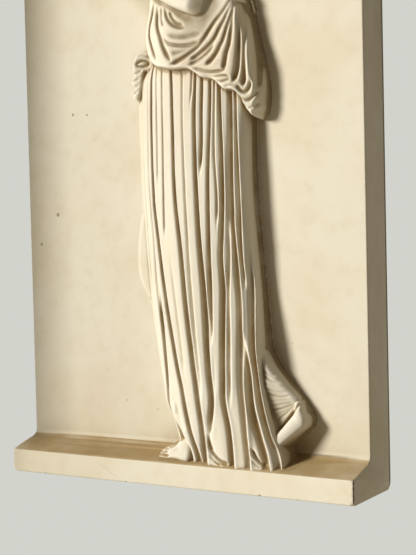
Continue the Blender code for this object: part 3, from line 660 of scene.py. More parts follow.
def add_front_foot(relief):
    """A foot on the ledge with its toes to the left, mostly under the hem."""
    foot = np.zeros(X.shape)
    swell(foot, FOOT_OUTLINE, foot_height, 6, edge=27, steepest=60)
    for start, end in TOE_GROOVES:
        fold(foot, (start, end), 5.5, 1.5, fades=(0, 0.35))
    np.maximum(relief, foot, out=relief)


print("the toes stand", foot_height(191, 32), "mm out")

# %% [markdown]
# ## The upper body
#
# The torso is one swell with long shallow folds from the bust. The near arm lies across it: a sleeve, a
# bare arm bent at the waist and a hand with bent fingers. They are limbs and one outline on layers of their
# own, because each has its own softness: cloth is softest, and fingers are crisp. The head is a profile, so
# its outline does most of the work, and brow, eye, mouth, ear and locks are single strokes. Its points are
# shares of the head's height, as in a drawing manual, so that the whole head can be moved or resized at
# once.

# %% The torso
TORSO = (
    (197, 470), (194, 515), (191, 540), (189, 562), (186, 580), (188, 597), (195, 614), (206, 630),
    (218, 643), (224, 656), (262, 656), (274, 646), (285, 632), (292, 612), (295, 585), (294, 555),
    (294, 525), (297, 470),
)
TORSO_DEPTH = (490, 27), (540, 27), (585, 31), (620, 28), (656, 21)
BUST_FOLDS = 5


def torso_height(x, z):
    return between(z, *TORSO_DEPTH)


def add_torso(relief):
    cloth = np.zeros(X.shape)
    swell(cloth, TORSO, torso_height, 34, edge=3)
    for k in range(BUST_FOLDS):
        top = 206 + 9 * k
        fold(cloth, ((top, 636), (top - 5 + k, 592), (top - 5 + 0.5 * k, 555), (top - 4, 515)), 2.4, 3.2)
    fold(cloth, ((288, 600), (286, 570), (285, 540), (288, 510)), 2.0, 3.0)
    np.maximum(relief, cloth, out=relief)


print("the bust stands", max(depth for _, depth in TORSO_DEPTH), "mm out, with", BUST_FOLDS, "folds")

# %% The near arm
SLEEVE_FOLDS = (
    ((246, 636), (253, 618), (270, 606)), ((243, 620), (252, 600), (272, 588)),
    ((242, 600), (253, 581), (273, 571)), ((243, 578), (256, 562), (273, 556)),
)
FOREARM = (
    (190, 510.5), (204, 501), (220, 491.5), (238, 483.5), (252, 479.5), (266, 484), (277, 496), (280, 512),
    (276, 526), (262, 530), (236, 528), (200, 536), (176, 541), (166, 538), (164, 528), (174, 519),
)
# How far the forearm stands out along its own length, from the wrist past the elbow
FOREARM_DEPTH = (160, 41), (215, 44), (242, 45.5), (248, 42), (257, 34), (275, 26)


def elbow_height(x, z):
    """The forearm stands furthest out; past the elbow's sharp turn the surface falls back."""
    return between(x - 0.45 * (z - 485), *FOREARM_DEPTH)


def add_arm(relief):
    """The near arm: a short sleeve, a bare arm bent at the waist, and a hand with its fingers bent."""
    sleeve = np.zeros(X.shape)
    limb(sleeve, (262, 627), (261, 560), (22, 21), (20, 24), squash=0.75)
    for points in SLEEVE_FOLDS:
        fold(sleeve, points, 2.4, 3.0)
    np.maximum(relief, softened(sleeve, 2.5), out=relief)
    limb(relief, (262, 580), (262, 512), (16.5, 17), (21, 16))
    arm = np.zeros(X.shape)
    swell(arm, FOREARM, elbow_height, 15, edge=14)
    np.maximum(relief, softened(arm, 1.5), out=relief)
    hand = np.zeros(X.shape)
    limb(hand, (172, 531), (152, 539), (10.5, 12.5), (29, 28), squash=0.8)
    limb(hand, (150, 539), (140, 537), (10.5, 9.5), (18, 15), squash=0.8)
    for finger in range(4):
        knuckle = (151 + 1.5 * finger, 548.5 - 6.3 * finger)
        tip = (knuckle[0] - 18 + 2 * abs(finger - 1.3), knuckle[1] - 4)
        limb(hand, knuckle, tip, (3.4, 3.1), (30, 26.5))
    limb(hand, (161, 545), (144, 552), (4.4, 3.6), (31, 28))
    np.maximum(relief, softened(hand, 0.8), out=relief)


print("the forearm stands", max(depth for _, depth in FOREARM_DEPTH), "mm out, further than all the rest")

# %% Head
# Its points are shares of the head's height, from the chin and the line of the face
HEAD_HEIGHT = 98.0
CHIN = (194.0, 672.0)


def on_head(*points):
    return tuple((CHIN[0] + HEAD_HEIGHT * across, CHIN[1] + HEAD_HEIGHT * up) for across, up in points)


def add_head(relief):
    neck = np.zeros(X.shape)
    outline = ((219, 636), (226, 655), (227, 674), (223, 692), (265, 700), (262, 682), (263, 662), (274, 640))
    swell(neck, outline, 21, 18, edge=4)
    np.maximum(relief, softened(neck, 2.5), out=relief)
    face = np.zeros(X.shape)
    swell(
        face,
        on_head(
            (0.10, -0.005), (0.04, 0.045), (0.055, 0.115), (0.03, 0.16), (0.048, 0.19), (0.022, 0.22),
            (0.035, 0.275), (-0.062, 0.315), (-0.02, 0.41), (0.02, 0.50), (0.008, 0.57), (0.02, 0.68),
            (0.06, 0.80), (0.14, 0.92), (0.36, 1.0), (0.62, 0.96), (0.80, 0.82), (0.86, 0.62), (0.80, 0.42),
            (0.66, 0.24), (0.46, 0.14), (0.26, 0.06),
        ),
        31, 32, edge=2,
    )
    # The brow, the eye's hollow, the eye, the nostril's wing and the mouth
    fold(face, on_head((0.035, 0.535), (0.10, 0.548), (0.20, 0.535)), -1.6, 3.4)
    fold(face, on_head((0.05, 0.50), (0.10, 0.505), (0.17, 0.49)), 4.0, 4.6)
    limb(face, *on_head((0.095, 0.487), (0.115, 0.487)), (4.0, 4.2), (7.0, 8.5))
    fold(face, on_head((0.045, 0.29), (0.03, 0.32), (0.015, 0.345)), -2.0, 2.4)
    fold(face, on_head((0.03, 0.19), (0.075, 0.192), (0.115, 0.185)), 1.8, 1.8, fades=(0, 0.4))
    hair = np.zeros(X.shape)
    swell(
        hair,
        on_head(
            (0.05, 0.79), (0.15, 0.93), (0.36, 1.02), (0.62, 0.98), (0.82, 0.84), (0.885, 0.62), (0.82, 0.42),
            (0.70, 0.30), (0.60, 0.34), (0.52, 0.46), (0.40, 0.56), (0.30, 0.66), (0.16, 0.74),
        ),
        34, 26, edge=7,
    )
    # The knot at the back of the head, and then the locks
    swell(
        hair,
        on_head(
            (0.84, 0.44), (0.78, 0.56), (0.82, 0.70), (0.94, 0.74), (1.04, 0.66), (1.05, 0.54), (0.96, 0.44),
        ),
        22, 13, edge=5,
    )
    for lock in range(6):
        a = 0.16 + 0.13 * lock
        points = on_head(
            (a, 0.985 - 0.9 * (a - 0.4) ** 2), (a + 0.03, 0.84 - 0.02 * lock), (a + 0.10, 0.66 - 0.02 * lock),
            (a + 0.22, 0.52 - 0.01 * lock),
        )
        fold(hair, points, 2.0, 2.6)
    np.maximum(relief, face, out=relief)
    np.maximum(relief, hair, out=relief)
    # The ear
    fold(relief, on_head((0.44, 0.50), (0.50, 0.50), (0.52, 0.44), (0.48, 0.38), (0.45, 0.34)), -3.0, 2.6)


print("the head reaches", CHIN[1] + HEAD_HEIGHT, "mm up the panel")

# %% Carve the whole figure
# The mould and the paint take the edge off everything by this much
CAST_SOFTENING = 0.6


def carved_figure():
    """How far the figure stands out from the panel over the whole sheet, in drawn millimetres."""
    relief = np.zeros(X.shape)
    add_far_knee(relief)
    add_rear_leg(relief)
    add_front_foot(relief)
    add_skirt(relief)
    add_mantle_end(relief)
    add_torso(relief)
    add_head(relief)
    add_mantle(relief)
    add_arm(relief)
    return softened(relief, CAST_SOFTENING)


figure_sheet = carved_figure()
print("figure stands out", round(float(figure_sheet.max()), 1), "mm at most")

# %% [markdown]
# ## Panel and ledge
#
# In section the panel is a straight line with the ledge at its foot: a low front, a worn arris, a top that
# slopes back, and a small cove where it meets the panel. A box with bevels and a boolean would give the
# same section, but its cuts would show where the figure meets it. Here the section is one more height, and
# the figure and the panel become one surface, as on the cast.

# %% The section of panel and ledge
def rounded(before, corner, after, radius, steps=14):
    """Points of the arc that rounds a profile's corner."""
    before, corner, after = (np.array(point, float) for point in (before, corner, after))
    first = (before - corner) / np.hypot(*(before - corner))
    second = (after - corner) / np.hypot(*(after - corner))
    half_angle = np.arccos(np.clip(first @ second, -1, 1)) / 2
    middle = corner + (first + second) / np.hypot(*(first + second)) * radius / np.sin(half_angle)
    start = corner + first * radius / np.tan(half_angle) - middle
    end = corner + second * radius / np.tan(half_angle) - middle
    turn = np.arccos(np.clip(start @ end / radius**2, -1, 1))
    shares = np.linspace(0, 1, steps + 1)
    return [
        tuple(middle + (np.sin((1 - t) * turn) * start + np.sin(t * turn) * end) / np.sin(turn))
        for t in shares
    ]


LEDGE_FOOT = (0.0, LEDGE_DEPTH)
LEDGE_LIP = (LEDGE_FRONT_HEIGHT, LEDGE_DEPTH)
LEDGE_BACK = (LEDGE_BACK_HEIGHT, 0.0)
PANEL_TOP = (PANEL_HEIGHT, 0.0)
LEDGE_SECTION = [
    LEDGE_FOOT,
    *rounded(LEDGE_FOOT, LEDGE_LIP, LEDGE_BACK, ARRIS),
    *rounded(LEDGE_LIP, LEDGE_BACK, PANEL_TOP, LEDGE_COVE),
    PANEL_TOP,
]
print("the section has", len(LEDGE_SECTION), "points")


def arris_drop(distance):
    """How far the surface has fallen back at a distance from an outer edge, so that the arris is round."""
    return ARRIS - np.sqrt(np.clip(ARRIS**2 - np.clip(ARRIS - distance, 0, ARRIS) ** 2, 0, None))


# %% Reading the sheet between its points
def on_sheet(sheet, x, z):
    """A sheet's value at x from the panel's middle and z above its underside, 0 off the sheet."""
    across = (x / MM + DRAWN_MIDDLE - LEFT) / STEP
    up = (z / MM - LOW) / STEP
    on = (across >= 0) & (across <= sheet.shape[1] - 1) & (up >= 0) & (up <= sheet.shape[0] - 1)
    column = np.clip(across.astype(int), 0, sheet.shape[1] - 2)
    row = np.clip(up.astype(int), 0, sheet.shape[0] - 2)
    s = np.clip(across - column, 0, 1)
    t = np.clip(up - row, 0, 1)
    lower = (1 - s) * sheet[row, column] + s * sheet[row, column + 1]
    upper = (1 - s) * sheet[row + 1, column] + s * sheet[row + 1, column + 1]
    return np.where(on, (1 - t) * lower + t * upper, 0)


# Where a corner has been knocked, as (x, z) in metres, then how deep and how wide the knock is
KNOCKED = (
    ((0.2105, 0.025), 0.0014, 0.0022), ((0.2105, 0.0), 0.0022, 0.0030), ((0.2102, 0.0105), 0.0007, 0.0018),
    ((0.2102, 0.0165), 0.0005, 0.0012), ((-0.210, 0.025), 0.0012, 0.0034), ((-0.210, 0.0), 0.0022, 0.0036),
    ((-0.164, 0.0), 0.0007, 0.0016), ((-0.055, 0.0), 0.0006, 0.0014), ((0.108, 0.0), 0.0009, 0.0018),
    ((0.150, 0.0255), 0.0004, 0.0022),
)


def knocked_off(x, z):
    return sum(
        depth * np.exp(-(((x - at_x) ** 2 + (z - at_z) ** 2) / width**2))
        for (at_x, at_z), depth, width in KNOCKED
    )


def face_out(x, z):
    """How far the whole face stands in front of the wall, in metres."""
    figure = on_sheet(figure_sheet, x, z) * MM
    ledge = np.interp(z, *zip(*LEDGE_SECTION))
    out = PANEL_THICKNESS + np.maximum(figure, ledge)
    edge = np.minimum(np.minimum(x - solid_low.x, solid_high.x - x), np.minimum(z, PANEL_HEIGHT - z))
    return out - arris_drop(edge) - knocked_off(x, z)


hem_out = float(face_out(np.array(0.05), np.array(0.03))) / MM
print("the hem stands", round(hem_out, 1), "mm out from the wall")

# %% [markdown]
# ## From heights to a mesh
#
# A flat grid is moved on to the face, point by point. Its rows and columns lie close where there is carving
# and far apart on the plain panel. A Displace modifier could do the same from an image, but it would need
# the image. The rim is then carried back to the wall and closed, and Decimate takes away the triangles that
# the plain parts don't need. Last, each corner gets the slope of the sheet to shade with, so the thinning
# can't be seen.

# %% A grid moved on to the face
# How far apart the grid's lines are on the carving, the plain panel, beside the arris and on the ledge
COLUMN_WIDTH = 0.0008
ROW_HEIGHT = 0.0009
PLAIN_WIDTH = 0.012
EDGE_WIDTH = 0.0012
LEDGE_ROW = 0.0004
# How many arrises wide the close columns are at the left and at the right edge
LEFT_EDGE, RIGHT_EDGE = 8, 12


def read(items, name, width=1, kind=float):
    """One property of all points, edges, faces or corners of a mesh, as an array with a row for each."""
    values = np.empty(len(items) * width, kind)
    items.foreach_get(name, values)
    return values.reshape(-1, width) if width > 1 else values


def spaced(start, end, width):
    return np.linspace(start, end, max(2, round((end - start) / width) + 1))


def edge_steps(start, direction):
    """Places that follow a round arris closely, from an outer edge inwards."""
    return start + direction * ARRIS * np.array([0, 0.08, 0.3, 0.6, 1.0, 2.0])


def together(*groups):
    """All the places in order, each once."""
    return np.unique(np.round(np.concatenate(groups), 6))


def face_grid():
    side = PANEL_WIDTH / 2
    left, right = (LEFT - DRAWN_MIDDLE) * MM, (RIGHT - DRAWN_MIDDLE) * MM
    inner = side - 2 * ARRIS
    columns = together(
        edge_steps(-side, 1), spaced(-inner, -side + LEFT_EDGE * ARRIS, EDGE_WIDTH),
        spaced(-inner, left, PLAIN_WIDTH), spaced(left, right, COLUMN_WIDTH),
        spaced(right, inner, PLAIN_WIDTH),
        spaced(side - RIGHT_EDGE * ARRIS, inner, EDGE_WIDTH), edge_steps(side, -1),
    )
    rows = together(
        edge_steps(0, 1), [height for height, _ in LEDGE_SECTION[1:-1]], edge_steps(PANEL_HEIGHT, -1),
        spaced(LEDGE_FRONT_HEIGHT, LEDGE_BACK_HEIGHT + LEDGE_COVE, LEDGE_ROW),
        spaced(2 * ARRIS, PANEL_HEIGHT - 2 * ARRIS, ROW_HEIGHT),
    )
    bpy.ops.mesh.primitive_grid_add(x_subdivisions=len(columns) - 1, y_subdivisions=len(rows) - 1, size=2)
    face = bpy.context.object
    flat = read(face.data.vertices, "co", 3)
    x = columns[np.rint((flat[:, 0] + 1) / 2 * (len(columns) - 1)).astype(int)]
    z = rows[np.rint((flat[:, 1] + 1) / 2 * (len(rows) - 1)).astype(int)]
    places = np.stack([x, -face_out(x, z), z + solid_low.z], axis=1)
    face.data.vertices.foreach_set("co", places.ravel())
    return face


relief = face_grid()
print("grid:", len(relief.data.polygons), "squares")

# %% Sides and back
# The back's lower edge is rounded over this height, and two places closer than the second value are one
LOW_BACK_ROUND = 0.009
NEAR = 1e-6


def back_at(height):
    """Where the back is at a height above the foot: on the wall, but for its rounded lower edge."""
    turn = min(max(1 - height / LOW_BACK_ROUND, 0), 1)
    return -LOW_BACK_ROUND * (1 - math.sqrt(1 - turn * turn))


def close_to_back(face):
    """Carries the face's rim back and closes it: strips up the rounded edge, then one flat back."""
    mesh = bmesh.new()
    mesh.from_mesh(face.data)
    rim = [edge for edge in mesh.edges if edge.is_boundary]
    sides = bmesh.ops.extrude_edge_only(mesh, edges=rim)["geom"]
    back = [item for item in sides if isinstance(item, bmesh.types.BMVert)]
    for point in back:
        point.co.y = back_at(point.co.z - solid_low.z)
    across = sorted((p for p in back if p.co.z < solid_low.z + NEAR), key=lambda p: p.co.x)
    over = sorted((p for p in back if p.co.z > solid_high.z - NEAR), key=lambda p: -p.co.x)
    left = sorted((p for p in back if p.co.x < solid_low.x + NEAR), key=lambda p: p.co.z)
    right = sorted((p for p in back if p.co.x > solid_high.x - NEAR), key=lambda p: p.co.z)
    flat = next(k for k, p in enumerate(left) if p.co.y > -NEAR)
    mesh.faces.new(across + [right[1], left[1]])
    for k in range(1, flat):
        mesh.faces.new([left[k], right[k], right[k + 1], left[k + 1]])
    mesh.faces.new(right[flat:-1] + over + left[-2:flat - 1:-1])
    bmesh.ops.recalc_face_normals(mesh, faces=mesh.faces)
    mesh.to_mesh(face.data)
    mesh.free()


close_to_back(relief)
print("closed:", len(relief.data.polygons), "faces")

# %% Fewer triangles where the surface is plain
TRIANGLES = 190_000


def finished_mesh(piece, name):
    """The piece as its modifiers leave it, as a plain mesh object in place of the old one."""
    graph = bpy.context.evaluated_depsgraph_get()
    mesh = bpy.data.meshes.new_from_object(piece.evaluated_get(graph))
    bpy.data.objects.remove(piece, do_unlink=True)
    mesh.name = name
    made = bpy.data.objects.new(name, mesh)
    bpy.context.scene.collection.objects.link(made)
    return made


fewer = relief.modifiers.new("fewer_faces", "DECIMATE")
fewer.ratio = TRIANGLES / sum(len(polygon.vertices) - 2 for polygon in relief.data.polygons)
relief = finished_mesh(relief, "carved_relief")
relief.data.shade_smooth()
print("after thinning:", len(relief.data.polygons), "faces")

# %% Keep the back's edges sharp
# Points less than this far in front of the wall belong to the flat back
AT_BACK = 1e-5


def sharpen_back(mesh):
    at_back = read(mesh.vertices, "co", 3)[:, 1] > -AT_BACK
    sharp = at_back[read(mesh.edges, "vertices", 2, int)].all(axis=1)
    mesh.attributes.new("sharp_edge", "BOOLEAN", "EDGE").data.foreach_set("value", sharp)
    return sharp.sum()


print(sharpen_back(relief.data), "sharp edges on the back")

# %% Shading read from the sheet
# How far each way the slope is measured, and how much a face has to look forward to count as front
NORMAL_REACH = 0.0004
LOOKS_FORWARD = 0.02


def shade_from_sheet(mesh):
    """Gives the front the sheet's own slopes to shade with, so that thinning leaves no facets."""
    places = read(mesh.vertices, "co", 3)
    x, z = places[:, 0], places[:, 2] - solid_low.z
    across = face_out(x + NORMAL_REACH, z) - face_out(x - NORMAL_REACH, z)
    up = face_out(x, z + NORMAL_REACH) - face_out(x, z - NORMAL_REACH)
    normals = np.stack([-across, np.full(len(x), -2 * NORMAL_REACH), -up], axis=1)
    normals /= np.linalg.norm(normals, axis=1)[:, None]
    in_front = read(mesh.polygons, "normal", 3)[:, 1] < -LOOKS_FORWARD
    in_front = np.repeat(in_front, read(mesh.polygons, "loop_total", 1, int))
    corners = read(mesh.loops, "vertex_index", 1, int)
    mesh.normals_split_custom_set(normals[corners] * in_front[:, None])


shade_from_sheet(relief.data)
print("shading normals read from the sheet")

# %% [markdown]
# ## Where dust and painted shade lie
#
# Dust stays in hollows, and hands rub it off ridges. The brown in the hollows also stands in for the shade
# in the folds, and the pale ridges for the light they catch. A place is hollow where the surface lies deeper
# than its own softened copy. Blender's Pointiness would find that too, but it changes with the mesh and isn't
# exported. So the value is worked out on the sheet, once for narrow folds and once for wide ones, and written
# on each point. The mantle, more towards the belly and the hip, and the foot, more towards the hem, are made
# darker than the skirt, so they get some more.

# %% How hollow each place is
# For each size of hollow: how far the copy is softened, the depth that counts as one, and the value's limits
HOLLOWS = (2.0, 2.0, -1.0, 1.0), (6.0, 11.0, -0.15, 0.4)
# The mantle's extra darkening: at its left, and added towards the belly and the hip
MANTLE_DARKENING = 0.24, 0.16
# What stands further out than this is the bare arm, which has none
ARM_LEVEL = 36
# The foot's extra darkening: at the sole, and added towards the hem
FOOT_DARKENING = 0.12, 0.4
# Where the figure is thinner than this the panel is plain, and nothing is hollow
PLAIN_LEVEL = 0.7


def covered(outline, shoulder):
    """1 inside an outline, and soft at its edge."""
    sheet = np.zeros(X.shape)
    swell(sheet, outline, 1.0, shoulder)
    return sheet


def point_value(mesh, name, sheet):
    """Writes a sheet's value on to every point of the mesh as a named attribute, with 0 on the back."""
    places = read(mesh.vertices, "co", 3)
    values = on_sheet(sheet, places[:, 0], places[:, 2] - solid_low.z)
    values = np.where(places[:, 1] < -MM, values, 0)
    mesh.attributes.new(name, "FLOAT", "POINT").data.foreach_set("value", values.astype(np.float32))


whole_sheet = np.maximum(figure_sheet, np.interp(Z * MM, *zip(*LEDGE_SECTION)) / MM)
hollow_sheet = np.zeros(X.shape)
for spread, deep, low, high in HOLLOWS:
    hollow_sheet += np.clip((softened(whole_sheet, spread) - whole_sheet) / deep, low, high)
extra_darkening = MANTLE_DARKENING[0] + MANTLE_DARKENING[1] * ease((X - 188) / 50)
hollow_sheet += extra_darkening * covered(MANTLE_OUTLINE, 3) * (figure_sheet < ARM_LEVEL)
extra_darkening = FOOT_DARKENING[0] + FOOT_DARKENING[1] * ease((Z - 31) / 9)
hollow_sheet += extra_darkening * covered(FOOT_OUTLINE, 2) * (skirt_body(X, Z) <= 0)
hollow_sheet = np.where(figure_sheet > PLAIN_LEVEL, hollow_sheet, 0)
point_value(relief.data, "hollow", hollow_sheet)
print("deepest hollow", round(float(hollow_sheet.max()), 2))

# %% [markdown]
# ## Old cream paint on plaster
#
# The cast is gypsum plaster under a thin dull oil paint. Such paint has an IOR near 1.5, which is the
# shader's own, and a roughness of 0.55 to 0.68, which rises where dust lies. Dust also scatters the little
# shine that is left, so the specular level is low. To the eye the age is in the colours: cream and pink
# patches wider than a hand, fine mottling, pale worn paint on ridges that is also a painted highlight, brown
# dust in folds and corners that is also painted shade, brown dust on the ledge, grime beside the wall that
# is also a painted contact shadow, and knocks down to the brown ground. It is one material, because the
# real coat is one, and each kind of dirt, painted shade or painted highlight is one tint over the last. The
# patterns read Object coordinates, so they stay in place on the cast.

# %% Colours and nodes
def srgb(code):
    """An sRGB hex colour as the linear values that Blender's shaders take."""
    channels = [int(code[k:k + 2], 16) / 255 for k in (1, 3, 5)]
    return [c / 12.92 if c <= 0.04045 else ((c + 0.055) / 1.055) ** 2.4 for c in channels] + [1.0]


def node(tree, kind, inputs=(), output=0, **settings):
    """Adds a node and returns one of its outputs.

    The inputs, in order or by name, are values or other nodes' outputs, and the settings are its properties.
    """
    made = tree.nodes.new("ShaderNode" + kind)
    for name, value in settings.items():
        setattr(made, name, value)
    for name, value in inputs.items() if isinstance(inputs, dict) else enumerate(inputs):
        if isinstance(value, bpy.types.NodeSocket):
            tree.links.new(value, made.inputs[name])
        else:
            made.inputs[name].default_value = value
    return made.outputs[output]


print("the ground under the paint, linear:", [round(value, 3) for value in srgb("#6E6046")[:3]])

# %% Small marks in the paint
# Where a mark sits as (x, z) from the middle of the panel, and how wide it is, in millimetres
SPECKS = (
    ((-144.2, -6.1), 3.4), ((-124.8, -7.4), 2.6), ((-169.3, -117.2), 4.6), ((-194.0, -150.3), 3.6),
    ((-62.5, 39.2), 1.3), ((-105.4, -291.3), 1.1), ((102.4, -161.8), 1.2), ((126.6, -254.4), 1.1),
    ((66.6, -180.2), 1.0), ((154.3, -275.7), 0.9), ((65.6, 32.6), 1.4), ((71.2, 23.0), 1.1),
    ((-80.6, -323.6), 1.6), ((-39.9, -331.2), 1.4), ((-185.7, 27.1), 1.2), ((-109.6, 76.1), 1.2),
    ((-164.0, -404.6), 2.2), ((-55.0, -404.6), 1.8), ((108.0, -404.6), 2.4), ((150.0, -404.6), 1.6),
)
# A speck is whole to the first share of its width from its middle, and gone at the second
SPECK_EDGE = 0.35, 0.6
# The scratch across the ledge's front: its ends, half its width, how it fades at its ends, and its strength
SCRATCH = ((-94.1, -385.1), (-65.5, -401.2))
SCRATCH_WIDTH = 0.3
SCRATCH_FADES = 2, 4
SCRATCH_STRENGTH = 0.6


def scratch_mark(tree, places):
    """1 on the straight scratch, by how far along it and how far beside it a place is."""
    (ax, az), (bx, bz) = SCRATCH
    length = math.hypot(bx - ax, bz - az)
    gaps = []
    for across, up in (((bx - ax) / length, (bz - az) / length), ((az - bz) / length, (bx - ax) / length)):
        dot = node(tree, "VectorMath", (places, (across, 0, up)), "Value", operation="DOT_PRODUCT")
        gaps.append(node(tree, "Math", (dot, (ax * across + az * up) * MM), operation="SUBTRACT"))
    along, beside = gaps[0], node(tree, "Math", (gaps[1],), operation="ABSOLUTE")
    mark = SCRATCH_STRENGTH
    for step in (
        (beside, 0.3 * SCRATCH_WIDTH * MM, SCRATCH_WIDTH * MM, 1.0, 0.0),
        (along, 0.0, SCRATCH_FADES[0] * MM, 0.0, 1.0),
        (along, (length - SCRATCH_FADES[1]) * MM, length * MM, 1.0, 0.0),
    ):
        share = node(tree, "MapRange", step, interpolation_type="SMOOTHSTEP")
        mark = node(tree, "Math", (share, mark), operation="MULTIPLY")
    return mark


def all_marks(tree, places):
    """1 on the scratch and on every speck, whatever the depth there."""
    marks = scratch_mark(tree, places)
    flat = node(tree, "VectorMath", (places, (1, 0, 1)), operation="MULTIPLY")
    for (across, up), size in SPECKS:
        gap = node(tree, "VectorMath", (flat, (across * MM, 0, up * MM)), "Value", operation="DISTANCE")
        step = (gap, SPECK_EDGE[0] * size * MM, SPECK_EDGE[1] * size * MM, 1.0, 0.0)
        speck = node(tree, "MapRange", step, interpolation_type="SMOOTHSTEP")
        marks = node(tree, "Math", (marks, speck), operation="MAXIMUM")
    return marks


print(len(SPECKS), "specks and one scratch")

# %% Painted plaster
# Each pattern's size in millimetres, how many times finer detail is added to it, and that detail's strength.
# Brush marks and grit are finer than a millimetre, too fine to show, so the skin is drawn at 6 mm.
PATTERNS = {
    "cream": (111.1, 3, 0.55), "pink": (188.7, 2, 0.55), "mottling": (14.29, 4, 0.55),
    "blotches": (26.3, 4, 0.55), "dust": (45.5, 4, 0.55), "chips": (3.846, 3, 0.55),
    "gloss": (33.3, 4, 0.55), "skin": (6.25, 5, 0.6),
}
# How far out a corner is still darkened, both by dust and by painted shade
NOOK_REACH = 0.035
# Above these heights the upward faces hold only this share of the dust that lies on the ledge
LEDGE_DUST = (-0.355, -0.340)
HIGHER_DUST = 0.12
# The grime and painted contact shadow beside the wall start at the first of these depths and are full from
# the second to the wall
WALL_GRIME_AND_SHADOW = (-0.0042, -0.0022)
# How far in from the ledge's right front arris the paint has chipped, and how far the chips' edges fade,
# sideways and inwards, as shares of that
CHIPPED_ARRIS = 0.0011
CHIP_FADES = 0.5, 0.8
# Each coat over the paint: its colour, then the steps, and any number, that its share is the product of
COATS = {
    "cream_patches": ("#E2D6BA", "cream"),
    "pink_patches": ("#E6D4BF", "pink"),
    # Paler on ridges: worn paint, and also a painted highlight for the light that the ridges catch
    "fine_mottling": ("#DACFB2", "mottling"),
    "rubbed_and_highlit_ridges": ("#F1EBDC", "on_ridges"),
    # Brown in hollows: dust, and also painted shade in the folds
    "dust_and_shade_in_folds": ("#928064", "in_folds", "fold_blotches"),
    # Brown in corners, read from ambient occlusion: dust, and also painted shade where the figure shades the
    # panel
    "dust_and_shade_in_corners": ("#A8936F", "in_corners", "corner_blotches"),
    "dust_on_ledge": ("#AE9468", "upward", "dust_patches", "low_down"),
    "marks": ("#6E6046", "marks", 0.6),
    # Dark band beside the wall: grime, and also a painted contact shadow where the cast meets the wall
    "grime_and_wall_shadow": ("#5E4E38", "beside_wall", "off_back"),
    "chipped_arris": ("#5A4C36", "right_arris", "front_arris", "chips"),
}
# How much rougher dust makes the paint, and how much light the paint throws back
DUST_ROUGHNESS = 0.25
SHINE = 0.1
# How deep the skin's bumps are in metres, how strongly they show, and how deep a mark goes against them
SKIN_DEPTH = 0.0005
SKIN_STRENGTH = 0.35
MARK_DEPTH = -1.5


